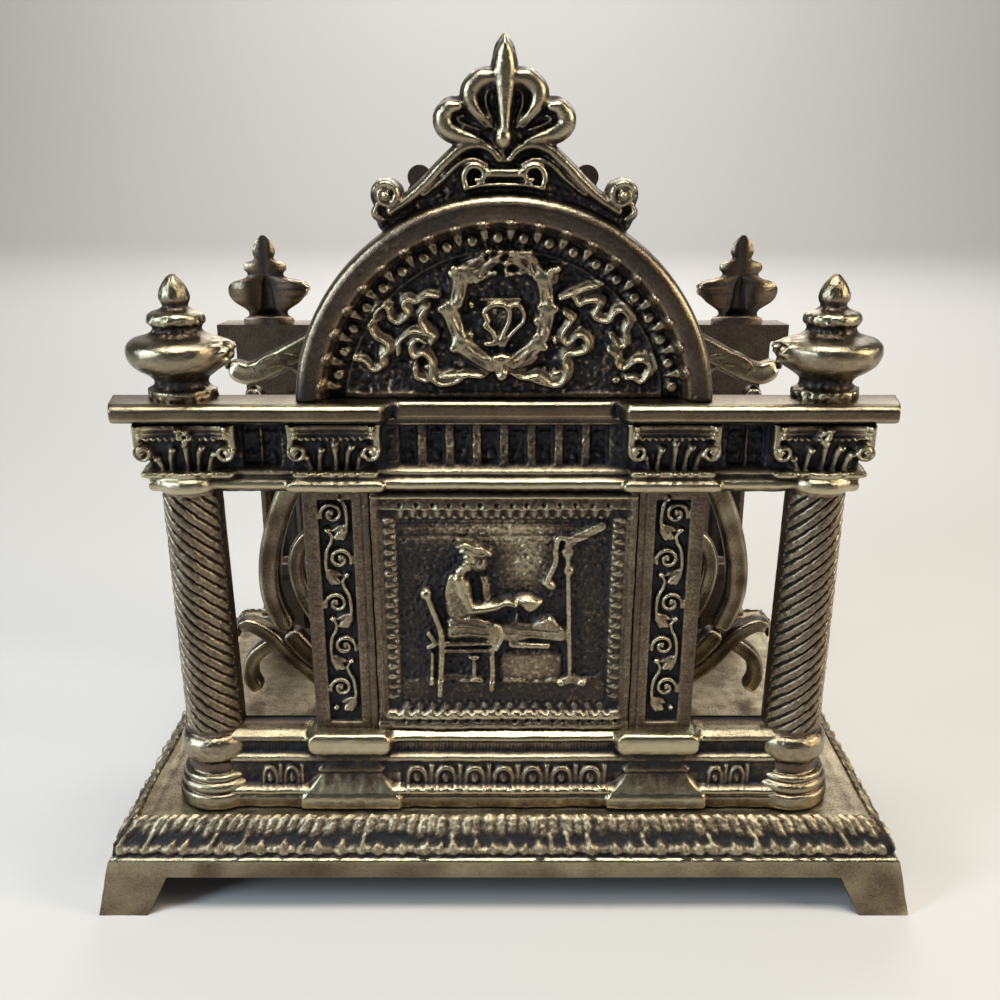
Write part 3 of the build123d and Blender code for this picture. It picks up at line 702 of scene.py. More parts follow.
def capital(relief, centre, half, deep, flower=()):
    """A Corinthian capital: leaves below, a volute at each corner and maybe a flower on the abacus."""
    returned(relief, centre, half - 2.6, deep - 2.4, [(1.2, 80.2), (0.7, 83), (0.0, 86.5)])
    returned(relief, centre, half - 0.8, deep - 0.6, ABACUS)
    returned(relief, centre, half - 0.9, 5.6, NECK)
    window = relief.window((centre - half - 1, 86.6), (centre + half + 1, 90.5))
    bow = 1 - unit(np.abs(relief.X[window] - centre) / half) ** 2
    relief.h[window] -= np.where(relief.h[window] > deep - 3.0, 0.8 * bow, 0)
    for way in (-1, 1):
        corner = centre + way * (half - 1.9)
        window = relief.window((corner - 2.4, 82.8), (corner + 2.4, 90.5))
        X, Z = relief.X[window] - corner, relief.Z[window] - 84.7
        pad = np.minimum(1.75 - np.hypot(X, np.minimum(Z, 0)), 0.1)
        relief.lift(window, np.where(pad > 0, deep - 2.6, 0))
    relief.keep_ground()
    for way in (-1, 1):
        corner = centre + way * (half - 1.9)
        # a smooth horn comes down from the corner of the abacus and curls in to a ball
        horn = [(corner + way * x, z) for x, z in ((1.1, 89.6), (0.9, 88.2), (1.0, 86.8), (1.35, 85.4))]
        relief.stroke(horn, 2.1, 0.9, (1.3, 1.1, 0.8, 0.6), flat_profile, shine=-0.2)
        curl = spiral_path(corner, VOLUTE_Z, 90 - way * 80, 90 - way * 500, 1.5, 1.3, 0.35)
        relief.stroke(curl, 0.95, 1.5, (1.0, 1.0, 0.9), flat_profile, smooth=False, shine=-0.1)
        relief.blob(corner, VOLUTE_Z, 0.42, 0.42, 1.6, shine=0.1)
    # small leaves that stand round the bell, with tips that turn over
    for x, high, lean in CAPITAL_LEAVES:
        line = [(centre + x - lean, 81.2), (centre + x - 0.3 * lean, high - 1.2), (centre + x + lean, high)]
        relief.stroke(line, 1.25, 1.1, (0.9, 0.8, 1.3), shine=-0.2)
        relief.blob(centre + x + lean, high - 0.1, 0.9, 0.55, 1.5, 30, shine=-0.1)
    for k in range(int(2 * (half - 2.2) / 1.1)):
        relief.blob(centre - half + 2.6 + 1.1 * k, 86.6, 0.42, 0.35, 0.8, shine=-0.2)
    for x, z, size in flower:
        relief.blob(centre + x, z, size, size * 0.85, 1.5, 30, shine=-0.1)


def entablature(side):
    relief = Relief(-ENTABLATURE_END, ENTABLATURE_END, SHAFT_TOP, ENTABLATURE_TOP, 0.18)
    band(relief, -ENTABLATURE_HALF, ENTABLATURE_HALF, ENTABLATURE_RUN)
    relief.h += 0.05 * np.sin(relief.X * 0.33) * (relief.h > 1)
    frieze = (relief.Z > FRIEZE_LOW) & (relief.Z < FRIEZE_HIGH) & (relief.h > 1)
    niches = [NICHE_PITCH * (i - 3.5) for i in range(8)] + [way * x for way in (-1, 1) for x in (38.6, 41.9)]
    for x in niches:
        window = relief.window((x - 1.9, FRIEZE_LOW), (x + 1.9, FRIEZE_HIGH + 0.1))
        X, Z = relief.X[window] - x, relief.Z[window]
        relief.h[window] -= 1.15 * unit((1.55 - np.abs(X)) / 0.2) * unit((Z - 81.8) / 0.2)
        # a worn swelling at the foot of each niche, and a bar across its top
        relief.h[window] += 0.6 * np.exp(-((X / 0.95) ** 2) - ((Z - 83.2) / 1.0) ** 2)
        relief.h[window] += 0.35 * ((np.abs(Z - 87.2) < 0.35) & (np.abs(X) < 0.9))
    relief.h += 0.10 * relief.grain(1.3) * frieze
    for hand in (-1, 1):
        capital(relief, hand * PEDESTAL_X, 7.9, 7.0)
        flower = [(-hand * x, z, size) for x, z, size in CAPITAL_FLOWER]
        capital(relief, hand * COLUMN_CAPITAL_X, 8.6, 7.3, flower)
        ring = AXIS_X * hand
        for radius, low, high, bulge in ((5.2, 77.3, 80.0, 0.9), (5.1, 80.0, 81.2, 0.3)):
            window = relief.window((ring - 7, low - 0.01), (ring + 7, high + 0.01))
            X, Z = relief.X[window] - ring, relief.Z[window]
            mid, span = (low + high) / 2, (high - low) / 2
            r = radius + bulge * np.sqrt(unit(1 - ((Z - mid) / span) ** 2))
            out = COLUMN_AHEAD + np.sqrt(np.clip(r * r - X * X, 0, None))
            relief.lift(window, np.where(np.abs(X) < r, out, 0))
            relief.shine[window] = np.where(np.abs(X) < r, 0.85, relief.shine[window])
    for hand in (-1, 1):
        returned(relief, hand * PEDESTAL_X, 8.0, 6.0, TORUS, 2.5)
    beads = (relief.Z > 77.7) & (relief.Z < 79.6)
    relief.shine = np.maximum(relief.shine, 0.7 * beads)
    relief.h = blur(relief.h, 0.7)
    roughen(relief, 0.055)
    to_end = ENTABLATURE_END - np.abs(relief.X)
    to_edge = np.minimum(relief.Z - SHAFT_TOP, ENTABLATURE_TOP - relief.Z) + 0.01
    outline = np.minimum(0.5 + 10 * (relief.h - 0.6), np.minimum(to_end, to_edge))
    wear = wear_of(relief.h, relief.step)
    dark = frieze & (relief.h < 4.6)
    wear = np.where(dark, unit(wear * 0.8 - 0.06 + glints(wear.shape, 0.3)), wear)
    wear = np.where(relief.Z > 81.5, wear * 0.88 - 0.02, wear)
    across = np.abs(relief.X)
    from_axis = np.minimum(np.abs(across - PEDESTAL_X), np.abs(across - COLUMN_CAPITAL_X))
    capitals = from_axis < 7.6
    wear = np.where(capitals & (relief.Z > 86.5), 0.36 + 1.2 * (wear - 0.34), wear)
    wear = np.where(capitals & (relief.Z > 80.2) & (relief.Z < 81.5), wear + 0.1, wear)
    return relief_piece(f"{side}_entablature", relief, np.clip(outline, -1, 1), 0.2, wear)


# ---------------------------------------------------------------- cornice
BREAK_X = 18.4  # the cornice is set back between its two ends
CORNICE_SIDE = [
    (4.4, 89.2), (5.0, 89.4), (6.2, 89.8), (7.1, 90.1), (7.6, 90.5), (7.7, 90.9), (7.7, 92.1),
    (7.4, 92.5), (6.9, 92.8), (6.4, 93.0),
]
CORNICE_CENTRE = [
    (4.3, 89.2), (4.6, 89.4), (4.4, 89.6), (4.9, 89.9), (4.8, 90.2), (5.1, 90.6), (5.2, 91.6),
    (5.2, 92.3), (4.9, 92.8), (4.5, 93.0),
]


def cornice(side):
    relief = Relief(-CORNICE_X, CORNICE_X, ENTABLATURE_TOP, CORNICE_TOP, 0.2)
    outer, inner = (np.interp(relief.Z, heights, run)
                    for run, heights in (np.array(CORNICE_SIDE).T, np.array(CORNICE_CENTRE).T))
    across = np.abs(relief.X)
    share = unit((across - BREAK_X) / 2.4)
    share = share * share * (3 - 2 * share)
    relief.h = inner + (outer - inner) * share
    relief.h += 0.07 * np.sin(relief.X * 0.17 + 0.6) + 0.04 * np.sin(relief.X * 0.61)
    notch = bell(across, BREAK_X + 0.1, 0.7) * (relief.Z > 90.4)
    relief.h -= 0.5 * notch * (1 + 0.4 * relief.grain(1.5))
    relief.shine[:] = 0.9 * (relief.Z > 90.2) * (1 - notch)
    roughen(relief, 0.015)
    edges = bell(relief.Z, 92.65, 0.28) + 0.6 * bell(relief.Z, 90.55, 0.2)
    wear = unit(0.36 + 0.10 * share + 0.45 * edges - 0.6 * notch + 0.03 * relief.grain(7))

    def place(X, Z, H):
        # the ends are a little wider at the back than at the nose
        return X * (1 - 0.026 * H / 7.7), -BACK - H, Z

    return relief_piece(f"{side}_cornice", relief, None, 0.25, wear, place)


# ---------------------------------------------------------------- plaque
def zigzag(relief, start, end, pitch, swing, height):
    """A row of small points side by side, with a bead between their tips."""
    (ax, az), (bx, bz) = start, end
    length = math.hypot(bx - ax, bz - az)
    count = max(2, round(length / pitch))
    ux, uz = (bx - ax) / length, (bz - az) / length
    for i in range(count):
        t = length * (i + 0.5) / count
        ends = [(ax + ux * t - uz * off, az + uz * t + ux * off) for off in (0.9 * swing, -swing)]
        relief.stroke(ends, pitch * 0.86, height, (1.0, 0.1), dome_profile, smooth=False, shine=0.2)
        t += length / count / 2
        if i < count - 1:
            x, z = ax + ux * t + uz * 0.75 * swing, az + uz * t - ux * 0.75 * swing
            relief.blob(x, z, pitch * 0.2, pitch * 0.2, height * 0.9, shine=0.2)


# strokes of the picture: points, width, height
FURNITURE = [
    ([(-13.4, 58.0), (-12.1, 54.1), (-11.1, 50.9), (-11.0, 46.6), (-11.5, 38.6)], 1.25, 1.2),
    ([(-12.7, 46.6), (-12.9, 41.0)], 0.85, 0.9),
    ([(-13.3, 50.6), (-12.2, 48.8), (-13.4, 47.9)], 1.1, 1.0),
    ([(-10.8, 48.6), (-1.9, 48.8)], 1.1, 1.1),
    ([(-10.8, 47.2), (-2.3, 47.2)], 0.85, 1.0),
    ([(-5.3, 45.9), (-5.3, 42.0)], 1.0, 0.9),
    ([(-6.0, 45.9), (-4.6, 45.9)], 0.8, 1.0),
    ([(-2.1, 45.9), (-2.0, 42.8), (-2.2, 39.6)], 1.2, 1.1),
    ([(-10.2, 41.8), (-3.8, 41.4)], 1.1, 0.55),
    ([(1.3, 48.5), (7.8, 48.3)], 1.2, 1.3),
    ([(10.9, 68.2), (11.1, 62.0), (11.6, 48.7), (11.8, 42.0)], 1.05, 1.1),
    ([(10.2, 40.9), (11.9, 41.6), (14.2, 40.9)], 1.4, 0.9),
    ([(11.0, 68.5), (9.4, 68.7), (8.9, 66.4), (8.9, 64.2), (7.6, 61.0)], 1.15, 1.0),
    ([(11.0, 67.2), (12.2, 68.6), (13.7, 69.3), (16.7, 70.9)], 1.8, 0.9),
]
# filled forms of the picture: outline, height
FORMS = [
    ([(-0.6, 47.2), (4.6, 47.0), (9.9, 47.2), (10.6, 44.2), (9.9, 40.9), (4.8, 40.6), (-0.2, 40.8),
      (-1.0, 44.2)], 0.5),
    ([(-1.6, 52.7), (2.2, 53.2), (4.8, 52.9), (7.0, 54.2), (8.9, 53.5), (11.3, 51.3), (10.7, 48.7),
      (5.4, 49.2), (0.2, 48.7)], 1.15),
    ([(-10.4, 53.2), (-9.0, 54.4), (-5.7, 54.3), (-2.2, 53.4), (0.3, 52.0), (0.9, 49.4), (-0.6, 47.9),
      (-1.5, 45.8), (-2.8, 46.6), (-2.9, 49.0), (-6.7, 49.4), (-10.1, 49.5)], 1.35),
    ([(-8.2, 62.9), (-9.9, 61.6), (-10.7, 58.4), (-10.5, 55.4), (-9.6, 53.6), (-5.8, 53.8), (-5.2, 56.4),
      (-5.6, 60.4)], 1.45),
    ([(1.6, 57.9), (4.3, 58.3), (6.9, 57.2), (6.6, 55.8), (4.6, 54.4), (2.8, 55.6)], 1.4),
    ([(6.0, 60.4), (7.9, 61.3), (9.4, 60.0), (8.9, 58.7), (7.4, 58.9)], 1.1),
]
FOLDS = [
    ([(-9.4, 61.6), (-9.9, 58.6), (-9.2, 55.6)], 1.3, 1.75),
    ([(-8.6, 54.4), (-7.0, 53.6), (-5.2, 54.0), (-3.4, 53.2)], 1.0, 1.8),
    ([(-1.2, 52.6), (-0.3, 50.2), (-1.3, 47.6)], 1.2, 1.75),
    ([(0.6, 50.6), (3.8, 50.3), (7.6, 49.9)], 0.6, 1.4),
    ([(2.4, 54.6), (2.0, 53.0)], 0.7, 1.3),
    ([(-9.6, 52.4), (-6.4, 52.6), (-3.2, 51.8)], 0.9, 1.75),
    ([(-9.4, 50.6), (-6.0, 50.8), (-2.6, 50.4)], 0.8, 1.7),
    ([(1.4, 51.6), (5.2, 51.4), (9.6, 51.0)], 0.8, 1.45),
    ([(6.6, 53.0), (8.2, 53.6), (9.4, 52.4)], 1.3, 1.6),
    ([(3.2, 57.3), (5.6, 57.0)], 1.1, 1.8),
]


def picture(relief):
    """A seated figure at a table in front of a lamp stand, in low relief."""
    for outline, height in FORMS:
        relief.shape(outline, height, 0.9, shine=0.3)
    for points, width, height in FURNITURE:
        relief.stroke(points, width * 1.15, height, (0.9, 1.0, 0.9), block_profile, shine=0.25)
    for points, width, height in FOLDS:
        relief.stroke(points, width, height, (0.7, 1.0, 0.7), shine=0.35)
    relief.blob(-13.6, 58.2, 1.3, 1.25, 1.4, shine=0.4)
    relief.blob(-12.9, 40.8, 0.75, 0.7, 0.9)
    relief.blob(11.2, 62.6, 1.15, 1.1, 1.25, shine=0.4)
    relief.blob(11.0, 66.0, 1.3, 1.4, 1.25, shine=0.4)
    # arms: one bent to the dish, the other drawn up under the head
    for arm, width, height, widths, shine in (
        ([(-7.8, 61.2), (-7.0, 58.3), (-5.6, 55.4)], 3.0, 1.95, (0.9, 1.0, 0.75), 0.5),
        ([(-5.8, 55.4), (-1.8, 56.0), (0.4, 56.9), (2.0, 56.5)], 2.2, 1.95, (1.0, 0.9, 0.65), 0.5),
        ([(-3.6, 61.2), (-3.1, 59.4), (-2.9, 57.0)], 2.0, 1.0, (0.7, 1.0, 0.9), 0.3),
    ):
        relief.stroke(arm, width, height, widths, shine=shine)
    # a plain head: an oval under a loose mass of wavy hair
    relief.stroke([(-7.6, 62.4), (-6.2, 63.8)], 2.4, 1.5, shine=0.4)
    relief.blob(-4.2, 63.9, 1.9, 2.2, 1.5, -25, dome_profile, shine=0.3)
    hair = [(-8.4, 67.2), (-7.6, 68.5), (-5.6, 68.3), (-3.4, 67.6), (-1.9, 66.5), (-1.6, 65.2), (-2.6, 64.7),
            (-4.0, 65.1), (-4.8, 64.0), (-5.6, 62.6), (-7.0, 62.3), (-7.7, 63.6), (-7.3, 65.2), (-8.2, 66.1)]
    relief.shape(hair, 1.7, 1.3, shine=0.2)
    for lock in (
        [(-8.2, 67.3), (-6.6, 67.9), (-5.0, 67.2), (-3.4, 67.0), (-2.2, 65.9)],
        [(-7.6, 66.4), (-6.2, 66.8), (-4.8, 66.0), (-3.4, 65.9)],
        [(-7.0, 65.4), (-6.0, 65.5), (-5.2, 64.5)],
        [(-7.2, 64.2), (-6.3, 64.2), (-5.9, 63.2)],
    ):
        relief.stroke(lock, 0.85, 1.95, (0.7, 1.3, 0.8, 1.1), shine=0.2)


# mouldings of the frame: (distance from that edge of the plaque, height)
FRAME_SIDE = [(0, 3.9), (0.3, 4.0), (1.15, 4.0), (1.3, 3.5), (1.5, 3.9), (2.0, 3.55), (4.2, 3.45), (4.4, 3.0)]
FRAME_LOW = [
    (0, 4.3), (0.6, 4.5), (1.4, 4.3), (1.7, 3.7), (2.0, 4.0), (3.6, 4.1), (3.9, 3.5), (5.3, 3.3), (5.5, 3.0),
]
FRAME_TOP = [
    (0, 3.2), (0.5, 3.9), (0.9, 4.3), (1.4, 3.9), (1.7, 3.6), (3.2, 3.95), (3.5, 3.3), (5.0, 3.3), (5.2, 3.0),
]
BEADED_X = 19.4  # the upright rows of points
PICTURE_X = 18.2
PICTURE_LOW, PICTURE_HIGH = 37.0, 72.3


def plaque(side):
    relief = Relief(-PLAQUE_X, PLAQUE_X, PLINTH_TOP, SHAFT_TOP, 0.17)
    X, Z = relief.X, relief.Z
    across = np.abs(X)
    to_side = PLAQUE_X - across
    to_low, to_top = Z - PLINTH_TOP, SHAFT_TOP - Z
    relief.h[:] = 3.0
    frame, low, top = (
        np.interp(gap, *np.array(moulding).T)
        for gap, moulding in ((to_side, FRAME_SIDE), (to_low, FRAME_LOW), (to_top, FRAME_TOP))
    )
    relief.h = np.maximum(relief.h, np.where(to_side < 4.3, frame, 0))
    relief.h = np.where(to_low < 5.4, np.maximum(low, np.where(to_side < 2.0, frame, 0)), relief.h)
    relief.h = np.where(to_top < 5.1, np.maximum(top, np.where(to_side < 1.2, frame, 0)), relief.h)
    relief.h += 0.06 * np.sin(X * 0.27 + Z * 0.11) + 0.05 * np.sin(Z * 0.43 + 2)
    ground_zone = (across < PICTURE_X) & (Z > PICTURE_LOW) & (Z < PICTURE_HIGH)
    floor_line = 41.4 + 0.35 * np.sin(X * 0.9) + 0.25 * np.sin(X * 2.3)
    relief.h += np.where(ground_zone & (floor_line > Z), 0.45, 0)
    relief.keep_ground()
    zigzag(relief, (-BEADED_X, 37.0), (-BEADED_X, 73.0), 1.95, 0.75, 0.45)
    zigzag(relief, (BEADED_X, 73.0), (BEADED_X, 37.0), 1.95, 0.75, 0.45)
    zigzag(relief, (-18.6, 72.9), (18.6, 72.9), 2.05, 0.7, 0.45)
    zigzag(relief, (-18.6, 36.3), (18.6, 36.3), 2.3, -0.8, 0.5)
    # the lowest moulding: one rough bar, notched where its beads have run together
    relief.stroke([(-20.4, 34.0), (0.0, 34.1), (20.4, 34.0)], 2.3, 0.5, profile=dome_profile, shine=0.4)
    for i in range(18):
        x = -20.0 + 40.0 * (i + 0.5) / 18
        drill(relief, x + RNG.uniform(-0.2, 0.2), 35.0, 0.45, 0.55, 0.6)
        drill(relief, x + 1.1 + RNG.uniform(-0.3, 0.3), 33.2, 0.4, 0.45, 0.5)
        drill(relief, x + 0.6, 34.1, 0.22, 0.6, 0.3)
    for i in range(14):
        drill(relief, -17.6 + 2.7 * i + RNG.uniform(-0.2, 0.2), 74.7, 0.45, 0.4, 0.6)
    picture(relief)
    shiny = (to_top < 1.5) & (to_top > 0.4) | (to_low < 1.5) & (to_low > 0.2)
    relief.shine = np.maximum(relief.shine, 0.7 * shiny)
    relief.h = blur(relief.h, 0.85)
    sanded = ground_zone * (relief.h < 3.35)
    relief.h += sanded * 0.085 * relief.grain(1.1)
    roughen(relief, 0.055, 0.22)
    wear = wear_of(relief.h, relief.step)
    # the open ground is rubbed bright above the figure and between it and the lamp
    rub = 0.55 * bell(X, -1.5, 12) * bell(Z, 70.0, 3.0)
    rub += 0.50 * bell(X, 4.0, 4) * bell(Z, 64.0, 5) + 0.42 * bell(X, 5, 6) * bell(Z, 44, 3.5)
    raised = unit((relief.h - 3.3) / 0.7)
    round_it = np.clip(blur((relief.h > 3.6).astype(float), 5), 0, 0.5) * (1 - raised)
    drawn = 0.23 + 0.29 * raised + 0.45 * (wear - 0.46) + rub * (1 - 0.75 * raised) - 0.3 * round_it
    drawn += glints(wear.shape, 0.16) + 0.03 * relief.grain(6)
    brushed = np.repeat(relief.grain(1.0)[:, :1], relief.h.shape[1], 1)
    drawn += 0.10 * brushed * unit((Z - 66.5) / 2)
    tone = np.where(ground_zone, drawn, 0.44 + 1.25 * (wear - 0.46))
    tone += 0.12 * ((to_low < 3.9) & (to_low > 1.5))
    tone = np.where(to_side < 2.0, wear * 0.6 + 0.2, tone)
    return relief_piece(f"{side}_plaque", relief, None, 0.25, unit(tone))


# ---------------------------------------------------------------- pediment
def inside_path(X, Z, points, width, widths=(1.0, 1.0)):
    """How far each point lies inside a stroke of that width along a path."""
    best = np.full(X.shape, -99.0)
    for gap, share in beside(X, Z, smooth_path(points)):
        half = width / 2 * np.interp(share, np.linspace(0, 1, len(widths)), widths)
        best = np.maximum(best, half - gap)
    return best


SIDE_VOLUTE = (18.1, 125.0)


def crest_rims(hand):
    """The raised mouldings that edge the crest: shoulder, upper lobe and lower lobe."""
    shoulder = [(17.6, 122.6), (14.4, 124.7), (11.6, 127.1), (10.2, 128.6), (8.5, 130.2), (6.8, 131.6),
                (5.1, 132.2), (3.4, 132.2), (1.7, 131.3), (0.8, 130.2)]
    upper = [(1.6, 141.8), (3.5, 141.5), (4.9, 140.2), (5.0, 138.5), (3.9, 136.9), (2.6, 135.7), (1.8, 134.8)]
    lower = [(6.9, 137.7), (8.2, 137.5), (9.2, 136.2), (8.9, 134.8), (7.3, 133.8), (5.1, 133.3), (3.2, 132.8)]
    return [mirrored(rim, hand) for rim in (shoulder, upper, lower)]


def pediment_outline(X, Z):
    across = np.abs(X)
    shape = ARCH_R - np.hypot(X, Z - ARCH_CENTRE)
    tapers = (1.0, 1.0, 1.0, 0.6)
    for rim, width in zip(crest_rims(1), (2.2, 3.3, 3.2), strict=True):
        shape = np.maximum(shape, inside_path(across, Z, rim, width, tapers))
    # the plate behind: under the shoulders, up the middle and inside each lobe
    fills = (
        ([(17.4, 121.6), (13.6, 122.4), (9.6, 125.0), (5.6, 128.2), (0.0, 128.8)], 5.2),
        ([(0.0, 130.0), (0.0, 136.0)], 5.4),
        ([(0.0, 125.6), (6.0, 125.2)], 2.6),
        ([(1.6, 136.4), (3.0, 138.6), (3.2, 140.2)], 3.6),
        ([(2.4, 134.8), (5.2, 135.6), (7.6, 136.2)], 3.8),
        ([(19.4, 122.3), (18.2, 121.9)], 2.6),
    )
    for points, width in fills:
        shape = np.maximum(shape, inside_path(across, Z, points, width))
    shape = np.maximum(shape, 2.6 - np.hypot(across - SIDE_VOLUTE[0], Z - SIDE_VOLUTE[1]))
    widths = (0.7, 0.75, 0.8, 0.88, 0.97, 0.72, 0.05)
    tip = inside_path(across, Z, [(0.0, 134.0), (0.0, 141.0), (0.0, 145.0), (0.0, TIP - 0.1)], 4.3, widths)
    return np.minimum(np.maximum(shape, tip), Z - CORNICE_TOP + 0.02)


TYMPANUM_R = 26.0
TEETH_R = 27.7
BAND_IN, BAND_OUT = 29.7, 34.4
ARCH_MOULDINGS = [  # (distance from the arch's centre, height)
    (0, 2.0), (24.7, 2.0), (24.9, 2.35), (25.1, 2.0), (25.4, 2.0), (25.7, 2.75), (26.0, 2.75), (26.3, 2.0),
    (29.0, 2.0), (29.3, 3.3), (29.6, 3.6), (30.0, 4.5), (31.2, 5.1), (32.6, 5.2), (33.5, 4.8), (34.1, 4.0),
    (34.3, 2.6),
]


def tympanum_ground(relief):
    """The arch's mouldings. Gives back each point's distance from the centre and the broad outer band."""
    r = np.hypot(relief.X, relief.Z - ARCH_CENTRE)
    radii, heights = np.array(ARCH_MOULDINGS).T
    relief.h = np.where(r > ARCH_R, 2.2, np.interp(r, radii, heights))
    broad = (r > BAND_IN) & (r < BAND_OUT)
    relief.h += np.where(broad, 0.06 * np.sin(7 * np.arctan2(relief.X, relief.Z - ARCH_CENTRE)), 0)
    pits = relief.grain(1.0) > 2.25
    relief.h -= blur(0.5 * (pits & broad & (r < 32.2)), 0.6)
    foot = relief.Z < CORNICE_TOP + 1.1
    relief.h = np.where(foot & (r < TYMPANUM_R), 2.7, relief.h)
    return r, broad


def toothed_band(relief):
    """Diamonds and points in turn between two rims, following the arch."""
    pitch = 2.1
    count = int(math.pi * TEETH_R / pitch)
    low = math.asin((CORNICE_TOP - ARCH_CENTRE) / TEETH_R)

    def on_arch(r, turn):
        return r * math.cos(turn), ARCH_CENTRE + r * math.sin(turn)

    for i in range(1, count):
        turn = low + (math.pi - 2 * low) * i / count
        if i % 2:
            relief.blob(*on_arch(TEETH_R - 0.1, turn), 1.25, 1.1, 1.35, math.degrees(turn), flat_profile, 0.4)
        else:
            point = [on_arch(TEETH_R + 1.5, turn), on_arch(TEETH_R - 1.0, turn)]
            relief.stroke(point, 2.5, 1.2, (1.0, 0.2), flat_profile, smooth=False, shine=0.3)
        for way in (-1, 1):
            slant = [on_arch(TEETH_R + 1.3, turn + way * 0.012),
                     on_arch(TEETH_R - 1.3, turn + way * 0.5 * pitch / TEETH_R)]
            relief.stroke(slant, 0.35, 0.6, smooth=False)


def bundle(relief, wide, narrow, width, height, shine=0.5):
    """A sheaf of the wreath: it widens to a scalloped end, with grooves along it."""
    dx, dz = wide[0] - narrow[0], wide[1] - narrow[1]
    size = math.hypot(dx, dz)
    ux, uz = dx / size, dz / size
    lean = math.degrees(math.atan2(uz, ux))
    relief.stroke([narrow, wide], width, height, (0.74, 0.82, 1.0), flat_profile, smooth=False, shine=shine)
    for k in (-1, 0, 1):
        side, ahead = k * width * 0.33, 0.45 * abs(k)
        x, z = wide[0] - uz * side + ux * ahead, wide[1] + ux * side + uz * ahead
        relief.blob(x, z, width * 0.26, width * 0.22, height * 1.1, lean, flat_profile, shine)
    for side, share in ((-0.17, 0.55), (0.15, 0.35)):
        x = narrow[0] + dx * share - uz * side * width
        z = narrow[1] + dz * share + ux * side * width
        drill(relief, x, z, size * 0.34, 0.26, 0.8, lean)


# sheaves of the wreath: wide end, narrow end, width
WREATH_SHEAVES = [
    ((-7.1, 102.1), (-2.0, 98.5), 2.6), ((-8.8, 107.6), (-7.1, 103.0), 2.5),
    ((-6.9, 112.4), (-7.5, 108.6), 2.4), ((-6.9, 113.6), (-3.6, 115.6), 1.5),
    ((-5.3, 112.9), (-1.2, 115.4), 1.7), ((-4.1, 112.5), (-1.5, 113.3), 1.2),
    ((1.9, 115.3), (4.2, 113.4), 1.6), ((3.8, 115.9), (5.6, 113.5), 1.5), ((0.6, 113.2), (2.6, 113.2), 1.0),
    ((6.2, 112.3), (6.9, 108.3), 2.3), ((6.8, 107.4), (6.2, 103.2), 2.5), ((5.4, 102.1), (1.5, 98.9), 2.4),
]
WREATH_BERRIES = [
    (-2.5, 116.7), (-0.6, 116.4), (1.1, 116.3), (2.8, 116.4), (0.3, 114.8), (7.3, 113.7), (8.4, 113.9),
    (-7.9, 114.0),
]
# ribbons beside the wreath: points, width
RIBBONS = [
    ([(-10.6, 109.5), (-12.4, 109.7), (-14.0, 108.7), (-15.4, 109.1), (-16.1, 108.1), (-15.4, 106.8),
      (-16.9, 105.4), (-18.3, 106.2), (-18.5, 107.6), (-19.5, 108.1), (-20.5, 107.2), (-20.5, 105.9),
      (-21.4, 105.0), (-20.7, 103.2), (-18.9, 102.0), (-18.8, 100.9), (-19.8, 99.8), (-19.8, 98.4),
      (-21.3, 97.7), (-22.6, 99.2), (-24.2, 99.5)], 1.35),
    ([(-12.5, 107.8), (-13.5, 106.0), (-12.5, 104.0), (-11.5, 103.2), (-11.9, 101.8)], 1.5),
    ([(-12.7, 102.2), (-14.0, 102.8), (-15.1, 101.5), (-14.6, 99.9), (-13.1, 100.5), (-11.8, 98.9),
      (-11.9, 96.6), (-10.4, 95.4), (-7.9, 95.8), (-6.2, 96.9), (-3.6, 96.5)], 1.4),
    ([(-17.2, 100.0), (-17.1, 102.0), (-15.9, 103.3), (-14.3, 104.0), (-12.0, 103.3)], 1.0),
    ([(-14.5, 98.4), (-14.4, 96.6), (-12.3, 95.8)], 1.1),
    ([(8.7, 109.2), (11.0, 110.0), (13.0, 110.8), (15.0, 111.2)], 1.3),
    ([(10.9, 109.6), (11.8, 108.2), (13.0, 108.8), (15.0, 108.8), (14.6, 107.3), (14.2, 106.3),
      (16.4, 105.6), (17.7, 107.2), (19.1, 107.2), (19.8, 105.8), (19.2, 104.0), (19.4, 101.8),
      (18.2, 101.8), (16.9, 103.2)], 1.35),
    ([(9.4, 107.0), (10.7, 105.9), (9.7, 104.4), (9.2, 102.9), (10.2, 102.0), (11.8, 103.4),
      (13.1, 102.6), (13.2, 101.0), (11.4, 100.4), (10.1, 100.5), (9.6, 99.1), (10.1, 97.6), (9.5, 95.8),
      (8.0, 95.2), (4.0, 96.2)], 1.4),
    ([(16.7, 100.9), (18.1, 99.9), (18.2, 98.7), (19.4, 98.0), (21.3, 99.3), (22.9, 99.1), (23.5, 97.7),
      (22.3, 95.8), (21.0, 96.4), (19.6, 96.3)], 1.3),
    ([(1.2, 97.3), (3.2, 96.4), (5.5, 96.7), (7.6, 95.4)], 1.4),
    ([(-10.3, 96.6), (-6.5, 96.9), (-3.0, 96.8)], 1.2),
]
RIBBON_ENDS = [(-9.5, 96.9, 1.6), (-7.0, 97.3, 1.3), (8.2, 96.9, 1.5), (5.6, 97.2, 1.1), (-12.2, 98.4, 1.3)]
# the two loops of the knotted motif that hangs inside the wreath
KNOT_LEFT = [
    (-2.9, 102.1), (-1.4, 102.2), (-1.8, 103.9), (-3.1, 105.0), (-2.6, 105.6), (-3.2, 107.2), (-1.8, 108.3),
    (0.4, 108.0), (0.8, 106.0), (-0.2, 103.6), (-0.6, 101.9),
]
KNOT_RIGHT = [
    (0.8, 108.0), (2.1, 108.3), (3.0, 107.3), (3.1, 105.8), (1.9, 104.5), (0.6, 103.0), (-0.1, 101.7),
]


